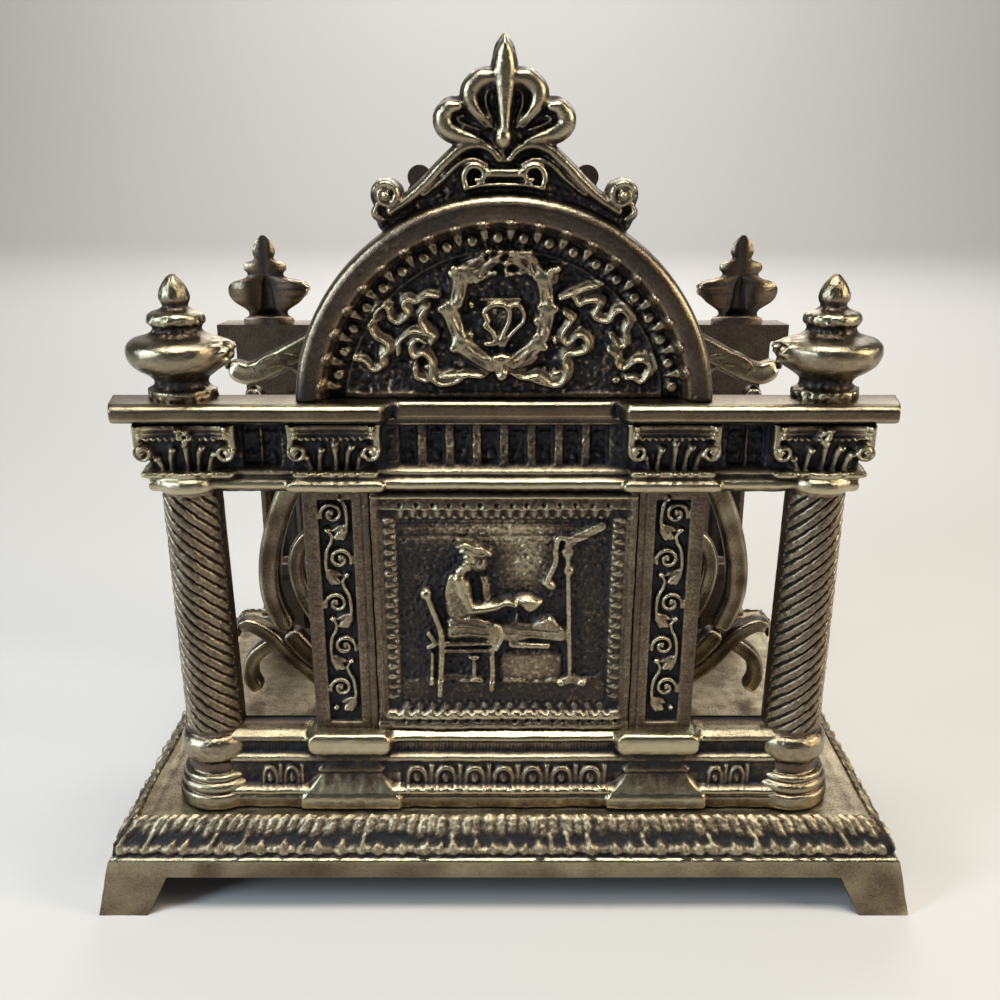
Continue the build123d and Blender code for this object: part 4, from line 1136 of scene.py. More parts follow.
def wreath(relief):
    for points, width in RIBBONS:
        # a broad fold lies behind the raised edge of each ribbon
        fold = [(x + 0.25, z + 0.45) for x, z in points]
        relief.stroke(fold, width * 1.75, 1.05, (0.7, 1.05, 0.9, 1.15, 1.0, 0.6), flat_profile, shine=0.2)
        relief.stroke(points, width * 0.6, 1.75, (0.9, 1.3, 0.9, 1.4, 0.9, 1.3, 0.6), shine=0.5)
    relief.blob(18.2, 96.1, 0.95, 0.9, 1.3, shine=0.5)
    for x, z, size in RIBBON_ENDS:
        relief.blob(x, z, size, size * 0.6, 1.3, 20, shine=0.5)
    for wide, narrow, width in WREATH_SHEAVES:
        bundle(relief, wide, narrow, width * 1.5, 1.75, 0.25)
    for root, tip, width in (
        ((5.4, 99.9), (1.5, 98.0), 1.5), ((-6.6, 101.0), (-2.4, 98.2), 1.5), ((8.3, 113.3),
        (7.7, 111.2), 1.4),
    ):
        leaf(relief, root, tip, width, 1.6)
    for x, z in ((-5.2, 108.3), (-5.3, 103.6), (-8.6, 113.2), (8.1, 102.6), (5.0, 105.6)):
        relief.blob(x, z, 0.6, 1.0, 1.8, 15, shine=0.5)
    for x, z in WREATH_BERRIES:
        relief.blob(x, z, 0.95, 0.9, 2.3, shine=0.6)
    bundle(relief, (-0.4, 99.4), (-0.4, 97.0), 3.4, 2.2)
    relief.blob(-0.8, 106.9, 3.6, 1.9, 0.5)
    relief.blob(-0.4, 104.0, 2.6, 2.4, 0.5)
    relief.stroke(KNOT_LEFT, 1.25, 1.5, profile=flat_profile, shine=0.4)
    relief.stroke(KNOT_RIGHT, 1.05, 1.4, profile=flat_profile, shine=0.4)
    relief.stroke([(-3.6, 109.1), (2.5, 109.1)], 0.9, 1.0, shine=0.3)


# lines on the right half of the crest: points, width, height, how its width runs, shine
CREST_LINES = [
    ([(12.4, 124.9), (11.0, 126.0), (9.4, 127.3), (7.7, 128.9), (6.1, 130.0), (4.4, 130.2), (2.7, 129.5)],
     1.0, 1.4, (0.6, 1.0, 1.0), 0.45),
    ([(5.8, 126.1), (6.2, 127.7), (5.6, 128.9), (4.6, 129.3), (3.4, 128.9), (3.1, 127.9), (3.6, 127.1),
      (4.3, 127.3)], 1.55, 1.8, (1.0, 1.0, 1.0, 0.8), 0.65),
]
# thin edges inside its lobes
LOBE_EDGES = [
    [(2.0, 140.2), (2.7, 139.4), (2.7, 138.0), (2.2, 136.6), (1.7, 135.6)],
    [(6.0, 136.4), (7.0, 136.2), (6.9, 135.7), (5.6, 135.0), (3.6, 134.4)],
    [(5.6, 137.3), (4.2, 136.0), (2.6, 134.7)],
]


def crest(relief):
    """Everything above the arch: side volutes, bracket and palmette."""
    for hand in (-1, 1):
        x, z = hand * SIDE_VOLUTE[0], SIDE_VOLUTE[1]
        start = 90 - hand * 60
        curl = spiral_path(x, z, start, start + hand * 430, 2.0, 1.2, 0.42)
        relief.stroke(curl, 1.6, 1.6, (0.9, 1.0, 0.8), smooth=False, shine=0.65)
        relief.blob(x, z, 0.85, 0.85, 2.0, shine=0.8)
        tail = [(x + hand * 1.4, z - 1.2), (x + hand * 1.9, z - 2.6), (x + hand * 0.6, z - 3.6)]
        relief.stroke(tail, 1.2, 1.3, shine=0.4)
        shoulder, upper, lower = crest_rims(hand)
        relief.stroke(shoulder, 2.1, 1.5, (0.8, 1.0, 1.0, 0.7), shine=0.6)
        for points, width, height, widths, shine in CREST_LINES:
            relief.stroke(mirrored(points, hand), width, height, widths, shine=shine)
        relief.stroke(upper, 3.2, 1.7, (0.75, 1.0, 1.0, 0.9, 0.65, 0.4, 0.3), shine=0.85)
        relief.stroke(lower, 3.1, 1.7, (0.6, 0.95, 1.05, 1.0, 0.85, 0.6, 0.35), shine=0.85)
        for points in LOBE_EDGES:
            relief.stroke(mirrored(points, hand), 0.5, 1.5, shine=0.3)
    relief.stroke([(-2.6, 128.2), (2.6, 128.2)], 1.9, 1.6, profile=flat_profile, shine=0.55)
    for way in (-1, 1):
        relief.blob(way * 2.5, 128.2, 0.45, 1.0, 2.1, shine=0.5)
    sill = [(-6.2, 126.0), (-3.0, 126.5), (0.0, 126.6), (3.0, 126.5), (6.2, 126.0)]
    relief.stroke(sill, 0.8, 2.0, shine=0.5)
    spear = [(0.05, z) for z in (134.6, 138.0, 141.0, 143.6, 146.2, TIP - 0.3)]
    relief.stroke(spear, 4.2, 2.2, (0.5, 0.62, 0.86, 1.0, 0.78, 0.12), shine=0.9)
    for hand in (1, -1):
        edge = mirrored([(0.75, 136.4), (0.95, 139.5), (1.1, 142.5)], hand)
        relief.stroke(edge, 0.6, 1.9, (0.6, 1.0, 0.6), shine=0.6)
    relief.blob(-0.2, 133.4, 1.5, 2.1, 2.1, shine=0.7)
    relief.stroke([(-0.4, 131.4), (0.0, 130.0)], 1.0, 1.2)


def pediment(side):
    relief = Relief(-ARCH_R - 0.2, ARCH_R + 0.2, CORNICE_TOP, TIP + 0.4, 0.2)
    r, broad = tympanum_ground(relief)
    relief.keep_ground()
    toothed_band(relief)
    wreath(relief)
    relief.keep_ground()
    crest(relief)
    relief.shine = np.maximum(relief.shine, np.where(broad, 0.5, 0))
    relief.h = blur(relief.h, 0.8)
    granular = (r < TYMPANUM_R) & (relief.h < 2.6) | (r > ARCH_R + 0.4) & (relief.h < 3.0)
    relief.h += granular * 0.12 * relief.grain(1.3)
    roughen(relief, 0.05, 0.25)
    wear = wear_of(relief.h, relief.step)
    raised = unit((relief.h - 2.35) / 0.8)
    inner = 0.24 + 0.27 * raised + 0.45 * (wear - 0.46)
    teeth = (r > 26.5) & (r < 29.5)
    inner = np.where(teeth, 0.14 + 0.62 * unit((relief.h - 2.3) / 1.1), inner)
    outer = 0.35 + 0.68 * (wear - 0.38) + 0.10 * bell(relief.h, 2.1, 0.5)
    wear = np.where(r < 29.6, inner, outer)
    wear = wear + granular * (0.05 * relief.grain(1.0) + glints(wear.shape, 0.45))
    # painted highlights along the outer and inner rims of the broad band
    rim = bell(r, 33.5, 0.5) + 0.7 * bell(r, 30.2, 0.35)
    cloudy = 0.05 * relief.grain(14)
    wear = np.where(broad, 0.33 + cloudy + 0.30 * rim, wear)
    outline = pediment_outline(relief.X, relief.Z)
    return relief_piece(f"{side}_pediment", relief, outline, 0.7, unit(wear))


# ---------------------------------------------------------------- turned pieces and lofts
def loft(name, rings, wear, shine):
    """A closed skin over rings of points that all have the same count, with flat ends."""
    rings = np.asarray(rings)
    rows, count = rings.shape[:2]
    number = np.arange(rows * count).reshape(rows, count)
    a, b = number[:-1], np.roll(number[:-1], -1, 1)
    c, d = np.roll(number[1:], -1, 1), number[1:]
    quads = np.stack([a, b, c, d], -1).reshape(-1, 4)
    faces = quads.tolist() + [number[0][::-1].tolist(), number[-1].tolist()]
    sharp = np.zeros(rows * count, int)
    sharp[number[0]] = 1
    sharp[number[-1]] = 2
    return new_piece(name, rings.reshape(-1, 3), faces, np.ravel(wear), np.ravel(shine), sharp)


TURNED_STEP = 0.17  # between rings of a turned piece


def densify(profile):
    """More points along a profile of (radius, height), smoothly joined."""
    path = smooth_path(profile, 9)
    gaps = distances(path)
    places = np.linspace(0, gaps[-1], int(gaps[-1] / TURNED_STEP))
    return np.interp(places, gaps, path[:, 0]), np.interp(places, gaps, path[:, 1])


BACK_POINTS = 13  # across its flat and hollow back
CAST_GRAIN = 0.025


def half_turning(name, x, ahead, radius, height, hollow, around, shine, texture):
    """A half-round turned casting: its flat back on the screen's back plane, hollow behind.

    The axis is at x, and ahead of that plane. radius and height run along the profile;
    hollow gives the half width and the depth of the channel up the back at each height.
    around counts the points round the front, and texture raises it by (angle, height).
    """
    half_angle = np.arccos(np.clip(-ahead / radius, -1, 1))
    turn = np.linspace(-1, 1, around)[None, :] * half_angle[:, None]
    R = np.repeat(radius[:, None], around, 1)
    rise = texture(turn, np.repeat(height[:, None], around, 1))
    rise += CAST_GRAIN * grain(R.shape, 1.6) + 0.6 * CAST_GRAIN * grain(R.shape, 6)
    edge = 1 - unit((np.abs(turn) / half_angle[:, None] - 0.97) / 0.03)
    R = R + rise * edge
    front_x, front_y = x + R * np.sin(turn), -BACK - ahead - R * np.cos(turn)
    front_y = np.minimum(front_y, -BACK)
    half_width, depth = hollow
    across = np.linspace(1, -1, BACK_POINTS)[None, :]
    back_x = x + half_width[:, None] * across
    back_y = -BACK - depth[:, None] * np.sqrt(unit(1 - across**2))
    points = np.stack([
        np.hstack([front_x, back_x]), np.hstack([front_y, back_y]),
        np.repeat(height[:, None], around + BACK_POINTS, 1),
    ], -1)
    exposed = radius - np.convolve(np.pad(radius, 12, mode="edge"), np.ones(25) / 25, "valid")
    wear = 0.43 + 0.13 * shine[:, None] + 0.5 * np.clip(exposed, -0.7, 0.7)[:, None]
    wear = wear + 1.5 * (rise - blur(rise, 2.5))
    wear = np.hstack([unit(wear), np.full((len(radius), BACK_POINTS), 0.34)])
    gloss = np.hstack([np.repeat(shine[:, None], around, 1), np.zeros((len(radius), BACK_POINTS))])
    return loft(name, points, wear, gloss)


COLUMN_PROFILE = [  # (radius, height)
    (7.3, DECK), (7.6, 17.1), (7.75, 17.8), (7.7, 19.2), (7.4, 19.7), (7.0, 19.95), (7.35, 20.5),
    (7.3, 21.3), (6.9, 21.8), (6.55, 22.0), (6.75, 22.5), (6.5, 23.1), (5.7, 23.5), (5.45, 24.4),
    (5.5, 25.4), (5.95, 25.9), (6.5, 26.7), (6.65, 28.0), (6.5, 29.4), (6.0, 30.3), (5.4, 30.8),
    (5.3, 31.2), (5.25, 33.0), (4.95, 72.0), (4.9, 76.4), (5.0, 77.0), (5.05, SHAFT_TOP + 0.3),
]
SHAFT_HOLLOW = (34.0, 74.3)  # from and to which height the back is hollow
FLUTED = (31.6, 77.0)  # and the front is fluted
FLUTE_PITCH = 2.2  # up the shaft
FLUTE_LEAN = 4.3  # how far a flute climbs in one radian


def column(side, hand):
    word = "right" if hand > 0 else "left"
    radius, height = densify(COLUMN_PROFILE)

    def flutes(turn, z):
        """Spiral grooves down the front of the shaft, ragged as cast."""
        phase = (z - hand * FLUTE_LEAN * turn) / FLUTE_PITCH
        ragged = 0.022 * grain(z.shape, 1.2) + 0.03 * grain(z.shape, 5)
        wave = np.abs(((phase + ragged) % 1.0) - 0.5) * 2
        groove = unit((wave - 0.62) / 0.38) ** 1.3
        crown = 0.16 * np.sqrt(unit(1 - wave * wave))
        on = unit((z - FLUTED[0]) / 0.6) * unit((FLUTED[1] - z) / 0.6)
        on *= unit((1.22 - np.abs(turn)) / 0.06)
        return on * (crown - 0.62 * groove)

    soft = unit(np.minimum(height - SHAFT_HOLLOW[0], SHAFT_HOLLOW[1] - height) / 0.8)
    hollow = (np.full(len(height), 3.2), 0.02 + 3.2 * soft)
    shine = np.where((height < 31) | (height > 76.8), 0.85, 0.25)
    name, x = f"{side}_{word}_column", hand * AXIS_X
    return half_turning(name, x, COLUMN_AHEAD, radius, height, hollow, 96, shine, flutes)


FINIAL_PROFILE = [  # (radius, height)
    (5.5, CORNICE_TOP), (5.6, 93.6), (5.5, 94.4), (4.7, 94.8), (4.3, 95.3), (4.4, 96.0), (5.0, 96.6),
    (6.1, 97.3), (7.3, 98.1), (8.1, 99.0), (8.5, 100.0), (8.55, 100.9), (8.3, 101.8), (7.5, 102.5),
    (6.4, 102.9), (5.2, 103.2), (4.3, 103.7), (3.95, 104.2), (4.1, 104.7), (4.6, 105.2), (4.7, 105.8),
    (4.5, 106.5), (3.9, 106.9), (3.1, 107.15), (2.5, 107.4), (2.1, 107.8), (2.2, 108.2), (2.5, 108.9),
    (2.5, 109.6), (2.2, 110.5), (1.7, 111.4), (1.0, 112.2), (0.5, 112.6), (0.15, 112.78),
]
# height, and half width of the channel there
FINIAL_CHANNEL = [
    (94.7, 0.03), (94.9, 3.2), (96.6, 2.0), (99.0, 1.6), (102.0, 1.2), (103.6, 0.4), (104.0, 0.03),
]


def finial(side, hand):
    word = "right" if hand > 0 else "left"
    radius, height = densify(FINIAL_PROFILE)

    def lump(turn, z):
        """A rough casting lump on the inner side of the belly, where the gate was broken off."""
        near = unit(1.5 * np.exp(-(((turn + hand * 1.28) / 0.27) ** 4) - ((z - 101.0) / 1.7) ** 4))
        dull = np.interp(z, (93, 96.5, 98.5, 103.2, 104.5, 106.5, 108), (1.6, 1.6, 0.15, 0.15, 1.6, 0.7, 0.1))
        rough = 0.05 * dull * grain(z.shape, 1.5)
        return near * (0.85 + 0.30 * grain(z.shape, 1.6)) + rough + 0.03 * grain(z.shape, 9)

    at, wide = np.array(FINIAL_CHANNEL).T
    channel = np.interp(height, at, wide)
    hollow = (np.clip(channel, 0.5, None), channel)
    shine = np.interp(height, (93, 96, 98, 103, 105, 113), (0.4, 0.3, 0.75, 0.7, 0.6, 0.9))
    name, x = f"{side}_{word}_finial", hand * AXIS_X
    return half_turning(name, x, 0.0, radius, height, hollow, 90, shine, lump)


# ---------------------------------------------------------------- base
APRON_BOTTOM = 7.1
FOOT_LENGTH = 8.9
FOOT_RAKE = 2.4
WALL = 2.5
LUMP_PITCH = 1.4
DECK_INSET = 6.3
FASCIA_TOP = 10.3
SLOPE_FOOT = 10.55
SIDE_PROFILE = [  # (inset, height) from the floor up to the deck
    (0.0, 0.0), (1.42, APRON_BOTTOM), (1.5, 7.6), (2.0, 9.9), (2.15, FASCIA_TOP), (2.55, SLOPE_FOOT),
    (3.0, 10.8), (3.1, 11.4), (3.3, 12.8), (4.6, 14.5), (5.6, 15.9), (6.0, 16.5), (6.6, DECK),
]


def base_side(name, half, other_half, turned):
    """One side of the base: two feet, the plain band, and the ornamented slope above it."""
    path = np.array(SIDE_PROFILE)
    insets, heights = path.T
    lengths = distances(path)
    at_height = dict(zip([z for _, z in SIDE_PROFILE], lengths, strict=True))
    band_low, slope_low, slope_top = at_height[APRON_BOTTOM], at_height[SLOPE_FOOT], lengths[-1]
    relief = Relief(-half, half, 0.0, slope_top, 0.2)
    X, V = relief.X, relief.Z
    relief.h += 0.05 * np.sin(X * 0.11 + 0.5) * (slope_low > V)
    relief.keep_ground()
    # worn tongues of uneven width hang from the deck's edge, with narrow slits between them
    x = -half
    while x < half:
        width = RNG.choice([2.0, 2.7, 3.4, 4.8], p=[0.3, 0.3, 0.25, 0.15])
        end = slope_top - RNG.uniform(2.9, 3.6)
        parts = 2 if width > 3 else 1
        for k in range(parts):
            part = width / parts
            middle = x + part * (k + 0.5)
            foot = end + RNG.uniform(-0.4, 0.6)
            relief.stroke([(middle, slope_top + 2.0), (middle, foot + part / 3)],
                          part + 0.75, RNG.uniform(0.36, 0.5), (1.0, 1.0, 0.95), dome_profile)
        x += width + RNG.uniform(0.1, 0.3)
    # a granular ledge below, with uneven points that rise from it
    ledge = slope_low + 1.8
    x = -half + 1.0
    while x < half:
        tall = ledge + RNG.uniform(0.7, 1.6)
        foot = RNG.uniform(1.8, 3.0)
        lean = RNG.uniform(-0.4, 0.4)
        relief.stroke([(x, ledge - 0.3), (x + lean, tall)], foot, 0.85, (1.15, 0.95, 0.4), dome_profile)
        if RNG.random() < 0.25:
            relief.stroke([(x + lean, tall - 0.5), (x + 1.4 * lean, slope_top - 3.5)], 0.9, 0.7)
        x += RNG.uniform(2.4, 4.8)
    for k in range(int(2 * half / LUMP_PITCH)):
        x, v = -half + LUMP_PITCH * k + RNG.uniform(-0.3, 0.3), ledge + RNG.uniform(-0.3, 0.15)
        relief.blob(x, v, 1.4, 0.85, 0.8, profile=dome_profile)
    relief.h = blur(relief.h, 0.9)
    slope = unit((V - slope_low) / 0.5)
    # the ornament dies away towards the mitres
    relief.h *= np.clip((half - np.abs(X) + 0.2) / 1.6, 0.35, 1)
    raised = unit(relief.h / 0.42)
    relief.h += slope * (0.025 + 0.035 * raised) * relief.grain(1.2)
    relief.h += (1 - slope) * 0.012 * relief.grain(3)
    # painted highlight: a bright line along the top edge of the fascia
    rim = bell(V, at_height[FASCIA_TOP], 0.35)
    relief.shine = np.where(slope < 0.1, 0.8, -0.7)
    wear = wear_of(relief.h, relief.step)
    streaks = 0.06 * relief.grain(8) + 0.08 * np.sin(X * 0.05)
    exposed = 0.12 + 0.60 * raised + 0.3 * (wear - 0.46)
    exposed = exposed + 0.05 * relief.grain(2) + 0.06 * relief.grain(0.8)
    exposed = np.where(V < slope_low + 1.1, 0.33 + 0.10 * relief.grain(1.2), exposed)
    upper = unit((V - slope_top + 3.4) / 2.6)
    exposed += upper * (0.16 + 0.07 * relief.grain(1.5))
    # the fascia's brass tone with a painted reflection: lighter towards its top
    fascia_tone_and_painted_reflection = np.interp(V, (0, band_low, slope_low), (0.54, 0.50, 0.62))
    wear = np.where(slope > 0.2, unit(exposed), fascia_tone_and_painted_reflection + streaks + 0.4 * rim)
    foot_in = half - FOOT_LENGTH
    ramp = foot_in - FOOT_RAKE * unit(V / band_low)
    open_below = np.minimum(ramp - np.abs(X), band_low - V)
    outline = np.where(open_below > -4, -open_below, 4.0)

    def place(x, v, h):
        inset, height = np.interp(v, lengths, insets), np.interp(v, lengths, heights)
        lean_v = np.clip(v, 0.05, slope_top - 0.05)
        slope_in, slope_up = (
            (np.interp(lean_v + 0.05, lengths, run) - np.interp(lean_v - 0.05, lengths, run)) / 0.1
            for run in (insets, heights)
        )
        inset, height = inset - h * slope_up, np.maximum(height + h * slope_in, 0)
        inset = np.maximum(inset, 0.02)
        # the mitre at each end follows the slope, and the feet keep their width behind
        skin = np.interp(v, lengths, insets)
        near_end = unit((np.abs(x) - half + 6.5) / 6.5) ** 2
        along = x / half * (half - skin) - np.sign(x) * near_end * (inset - skin)
        out = other_half - inset
        return (along, -out, height) if not turned else (out, along, height)

    return relief_piece(name, relief, outline, 0.3, wear, place, back=-WALL)


def base_deck():
    """The deck: a thin plate with the uneven top of a sand casting."""
    half_x, half_y = FOOT_X - DECK_INSET, FOOT_Y - DECK_INSET
    relief = Relief(-half_x, half_x, -half_y, half_y, 0.45)
    X, Y = relief.X, relief.Z
    relief.h += 0.018 * relief.grain(1.2) + 0.05 * relief.grain(7)
    edge = np.minimum(half_x - np.abs(X), half_y - np.abs(Y))
    relief.h -= 0.12 * bell(edge, 2.4, 0.5)
    relief.shine[:] = -0.4
    clouds = 0.05 * relief.grain(1.4) + 0.02 * relief.grain(9)
    wear = unit(0.66 + clouds + 0.1 * bell(edge, 0, 1.5))

    def place(x, y, h):
        return x, y, DECK - 0.25 + np.minimum(h, 0.24)

    return relief_piece("base_deck", relief, None, 0.05, wear, place, back=-WALL)


DIVIDER_SCREW_X = 33.0
# radius, and how far below the deck's top
BOSS_PROFILE = [(2.06, 4.9), (4.7, 5.1), (5.0, 4.8), (5.2, 3.0), (6.2, 2.4), (2.06, 2.4)]


def screw_bosses():
    """Round bosses under the deck, where the six screws come up."""
    points, faces, count = [], [], 32
    places = [(sx * PEDESTAL_X, sy * (BACK + 3.2)) for sx in (-1, 1) for sy in (-1, 1)]
    places += [(-DIVIDER_SCREW_X, 0.0), (DIVIDER_SCREW_X, 0.0)]
    for px, py in places:
        start = len(points)
        for r, below in BOSS_PROFILE:
            turns = [2 * math.pi * i / count for i in range(count)]
            points += [(px + r * math.cos(t), py + r * math.sin(t), DECK - below) for t in turns]
        for k in range(len(BOSS_PROFILE)):
            low, high = start + k * count, start + (k + 1) % len(BOSS_PROFILE) * count
            for i in range(count):
                j = (i + 1) % count
                faces.append([high + i, high + j, low + j, low + i])
    return new_piece("base_screw_bosses", points, faces, np.full(len(points), 0.35), np.zeros(len(points)))


# ---------------------------------------------------------------- divider
# Each stroke of the right-hand half: width, then points down its middle.
SCROLLS = [
    (3.6, [(0, 99), (12, 102.5), (26, 100.6), (39.4, 94.2), (49.6, 89.4), (54.0, 91.2)]),
    (4.4, [(22, 78), (27, 82.5), (35, 78), (43.5, 66), (48.4, 53), (49.3, 42), (46.5, 33)]),
    (4.4, [(46.5, 33), (41, 26.5), (33, 22.5), (20, 21.5), (6, 27), (0, 36)]),
    (3.4, [(34, 51), (36, 56), (41.5, 54), (43.6, 48), (41.6, 39.5), (36, 32), (27, 28.5)]),
    (3.6, [(57.2, 33.4), (54.5, 34.4), (50, 31.6), (45, 25.6), (39, 20.9), (33, 19)]),
    (3.2, [(49.5, 30.5), (54.2, 26.5), (55.2, 22.0), (53.6, 18.4)]),
    (3.6, [(0, 58), (8, 66), (16, 76), (22, 78), (24.5, 73), (20.5, 69.5)]),
    (3.6, [(27, 28.5), (20, 33), (14, 42), (6, 50), (0, 52)]),
]
# how the width runs along the strokes that taper
SCROLL_TAPERS = {0: (1.0, 1.0, 0.8), 6: (1.0, 1.0, 0.8), 3: (0.8, 1.0, 1.0), 4: (0.8, 1.0, 1.0)}
SCROLL_EYES = [(34.4, 50.6, 2.6), (57.0, 33.0, 2.3), (20.6, 69.6, 2.5), (54.4, 91.6, 2.3)]  # x, z, radius
RING_X, RING_Z, RING_R = 43.5, 86.2, 6.1
RING_TURNS = np.linspace(0.4, 2 * math.pi + 0.1, 26)
SCROLL_RING = [(RING_X + RING_R * math.cos(t), RING_Z + RING_R * math.sin(t)) for t in RING_TURNS]
SCROLL_THICK = (DIVIDER_HIGH[1] - DIVIDER_LOW[1]) / 2 - 2.05  # half thickness away from the feet


def scroll_stroke(name, points, width, widths=(1.0, 1.0), rubbed=0.15):
    """One stroke of scrollwork: a strap with a ridge along each edge, on both faces.

    rubbed is the least wear that it shows.
    """
    path = smooth_path(points, 12)
    steps = distances(path)
    places = np.linspace(0, steps[-1], max(8, int(steps[-1] / 0.45)))
    line = np.stack([np.interp(places, steps, path[:, i]) for i in (0, 1)], 1)
    heading = np.gradient(line, axis=0)
    heading /= np.hypot(*heading.T)[:, None]
    normal = np.stack([-heading[:, 1], heading[:, 0]], 1)
    t = places / places[-1]
    scale = np.interp(t, np.linspace(0, 1, len(widths)), widths)
    end = unit(np.minimum(places, places[-1] - places) / (width * 0.5))
    scale = scale * np.sqrt(np.clip(1 - (1 - end) ** 2, 0.05, 1))
    across = np.array([-1.0, -0.97, -0.86, -0.7, -0.52, -0.3, 0.0, 0.3, 0.52, 0.7, 0.86, 0.97, 1.0])
    thick = np.array([0.10, 0.52, 0.80, 0.95, 0.97, 0.93, 0.91, 0.93, 0.97, 0.95, 0.80, 0.52, 0.10])
    u = np.concatenate([across, across[::-1]])
    w = np.concatenate([-thick, thick[::-1]])
    half = width / 2 * scale
    deep = SCROLL_THICK * np.clip(scale * 1.3, 0.2, 1)
    x = line[:, :1] + normal[:, :1] * half[:, None] * u[None]
    z = line[:, 1:] + normal[:, 1:] * half[:, None] * u[None]
    y = deep[:, None] * w[None]
    shape = x.shape
    jitter = 0.012 * grain(shape, 2.5)
    rings = np.stack([x, y * (1 + jitter), np.maximum(z, DECK)], -1)
    wear = unit(rubbed + 0.47 * np.abs(w)[None] + 0.12 * grain(shape, 3))
    return loft(name, rings, wear, np.full(shape, 0.5))


def joined(pieces, name):
    """Several meshes as one object, which stay separate closed shells."""
    bpy.ops.object.select_all(action="DESELECT")
    for piece in pieces:
        piece.select_set(True)
    bpy.context.view_layer.objects.active = pieces[0]
    bpy.ops.object.join()
    pieces[0].name = name
    pieces[0].data.name = name
    return pieces[0]


def divider():
    made = []
    for i, (width, points) in enumerate(SCROLLS):
        tapers = SCROLL_TAPERS.get(i, (1.0, 1.0))
        for hand in (-1, 1):
            route = mirrored(points, hand)
            broad, rubbed = (1.5, 0.3) if i == 0 else (1.04, 0.15)
            made.append(scroll_stroke(f"scroll_{i}_{hand}", route, width * broad, tapers, rubbed))
    for hand in (-1, 1):
        ring = mirrored(SCROLL_RING, hand)
        made.append(scroll_stroke(f"ring_{hand}", ring, 3.9, (0.8, 1.0, 1.0, 0.9)))
        for x, z, r in SCROLL_EYES:
            eye = mirrored([(x - 0.6, z), (x, z), (x + 0.6, z)], hand)
            made.append(scroll_stroke(f"eye_{hand}_{x}", eye, 2 * r * 0.95))
    made.append(scroll_stroke("stem", [(0, z) for z in (DECK, 40, 70, 103.6)], 4.6))
    return joined(made, "divider_scrollwork")


BLOCK_X, BLOCK_Y = 4.5, 4.0  # half sizes of the block under the divider
NECK_R = 4.6  # radius of the round neck on it


def divider_foot(hand):
    """The block under the divider that a screw comes up into."""
    x, top, count = hand * DIVIDER_SCREW_X, 21.1, 48
    profile = [
        (DECK, 0), (DECK + 0.3, 0.0), (19.2, 0.0), (20.3, -0.25), (20.8, -0.7), (top, -1.4), (22.4, -1.3),
        (25.0, -1.25), (26.2, -1.5), (26.7, -2.4),
    ]
    rings = []
    for z, grow in profile:
        ring = []
        round_part = unit((z - top) / 1.2)
        for i in range(count):
            turn = 2 * math.pi * i / count
            c, s = math.cos(turn), math.sin(turn)
            power = 6 - 4 * round_part
            k = (abs(c) ** power + abs(s) ** power) ** (-1 / power)
            neck = (NECK_R + grow) * round_part
            half_x = (BLOCK_X + grow) * (1 - round_part) + neck
            half_y = (BLOCK_Y + grow * 0.5) * (1 - round_part) + neck
            ring.append((x + half_x * k * c, half_y * k * s, z))
        rings.append(ring)
    name = "divider_right_foot" if hand > 0 else "divider_left_foot"
    size = len(rings), count
    return loft(name, rings, np.full(size, 0.45), np.full(size, 0.3))


# ---------------------------------------------------------------- assembly
def turned_copy(piece, name):
    """The same casting on the rear screen, half a turn round."""
    twin = add_object(name, piece.data)
    twin.matrix_world = Matrix.Rotation(math.pi, 4, "Z")
    return twin


def both_screens(make, node_end, *extra):
    """Make a piece for the front screen and reuse it behind. extra goes to its maker."""
    piece = make("front", *extra)
    twin = turned_copy(piece, piece.name.replace("front", "rear"))
    dress(piece, f"front_{node_end}")
    stand_for(twin, f"rear_{node_end}")


both_screens(plinth, "screen")
both_screens(entablature, "screen")
both_screens(cornice, "screen")
both_screens(plaque, "plaque")
both_screens(pediment, "pediment")
for hand, word in ((-1, "left"), (1, "right")):
    both_screens(pilaster, "screen", hand)
    both_screens(column, f"{word}_column", hand)
    both_screens(finial, f"{word}_finial", hand)

dress(base_side("base_front", FOOT_X, FOOT_Y, False), "base_tray")
dress(base_side("base_right", FOOT_Y, FOOT_X, True), "base_tray")
for near, far in (("base_front", "base_rear"), ("base_right", "base_left")):
    stand_for(turned_copy(bpy.data.objects[near], far), "base_tray")
dress(base_deck(), "base_tray")
dress(screw_bosses(), "base_tray")

dress(divider(), "divider")
for hand in (-1, 1):
    dress(divider_foot(hand), "divider")

for name, node in frame["nodes"].items():
    if name.endswith("_screw"):
        node.data.materials.clear()
        node.data.materials.append(SCREW)


# ---------------------------------------------------------------- stage, light and camera
def plain_material(name, colour, rough):
    material = bpy.data.materials.new(name)
    material.use_nodes = True
    shader = material.node_tree.nodes["Principled BSDF"]
    shader.inputs["Base Color"].default_value = (*colour, 1)
    shader.inputs["Roughness"].default_value = rough
    return material


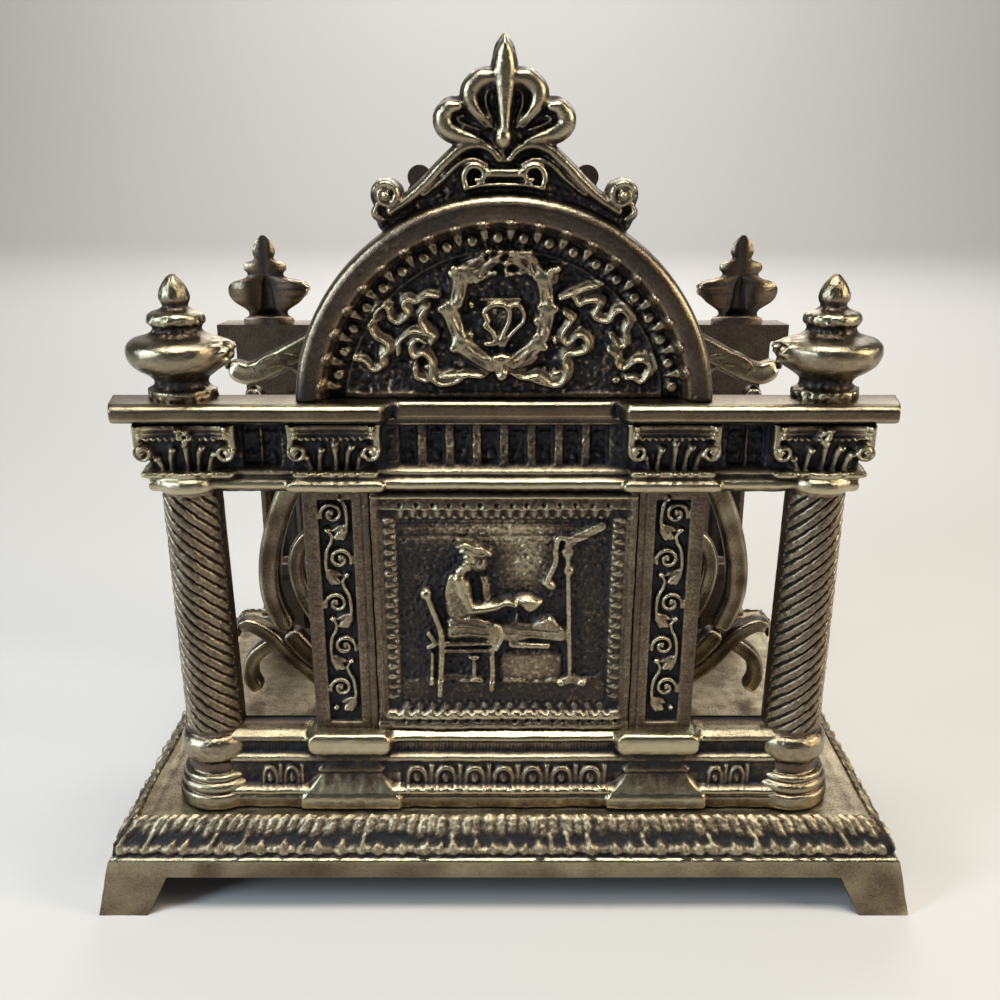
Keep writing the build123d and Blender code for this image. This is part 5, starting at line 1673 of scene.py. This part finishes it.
def softbox(name, place, target, size, power, colour):
    data = bpy.data.lights.new(name, "AREA")
    data.shape = "RECTANGLE"
    data.size, data.size_y = size
    data.energy = power
    data.color = colour
    lamp = add_object(name, data)
    lamp.location = place
    lamp.rotation_euler = (Vector(target) - Vector(place)).to_track_quat("-Z", "Y").to_euler()


def floor():
    """A pale floor that curves up into a backdrop behind the object."""
    half, back, radius, height = 3.0, 1.1, 0.5, 2.2
    line = [(-2.0, 0.0), (back, 0.0)]
    for i in range(1, 13):
        turn = math.pi / 2 * i / 12
        line.append((back + radius * math.sin(turn), radius * (1 - math.cos(turn))))
    line.append((back + radius, height))
    points = [(x, y, z) for y, z in line for x in (-half, half)]
    faces = [[2 * i, 2 * i + 1, 2 * i + 3, 2 * i + 2] for i in range(len(line) - 1)]
    mesh = bpy.data.meshes.new("floor")
    mesh.from_pydata(points, [], faces)
    mesh.polygons.foreach_set("use_smooth", [True] * len(mesh.polygons))
    mesh.materials.append(plain_material("floor_paper", (0.55, 0.54, 0.525), 0.6))
    add_object("floor", mesh)


floor()
world = bpy.data.worlds.new("studio")
world.use_nodes = True
world.node_tree.nodes["Background"].inputs["Color"].default_value = (0.80, 0.84, 0.90, 1)
world.node_tree.nodes["Background"].inputs["Strength"].default_value = 0.12
bpy.context.scene.world = world
AIM = (0, 0, 0.06)
softbox("overhead", (0.0, -0.12, 0.70), AIM, (0.34, 0.20), 4.4, (1.0, 0.97, 0.90))
softbox("cool_left", (-0.55, -0.30, 0.32), AIM, (0.16, 0.34), 3.2, (0.70, 0.85, 1.0))
softbox("warm_right", (0.60, -0.15, 0.35), AIM, (0.16, 0.34), 2.4, (1.0, 0.86, 0.66))
softbox("behind", (0.1, 0.75, 0.55), AIM, (0.8, 0.3), 3.0, (1.0, 0.98, 0.95))
softbox("backdrop", (0.0, 0.55, 1.0), (0, 1.5, 0.62), (0.8, 0.3), 16.0, (1.0, 0.97, 0.93))

bpy.context.scene.view_settings.view_transform = "Standard"
camera_data = bpy.data.cameras.new("camera")
camera_data.sensor_width = 36
camera_data.lens = 37.0
camera_data.clip_start = 0.01
camera = add_object("camera", camera_data)
camera.location = (-0.00067, -0.2000, 0.1339)
camera.rotation_euler = (math.radians(70.38), 0, 0)
bpy.context.scene.camera = camera
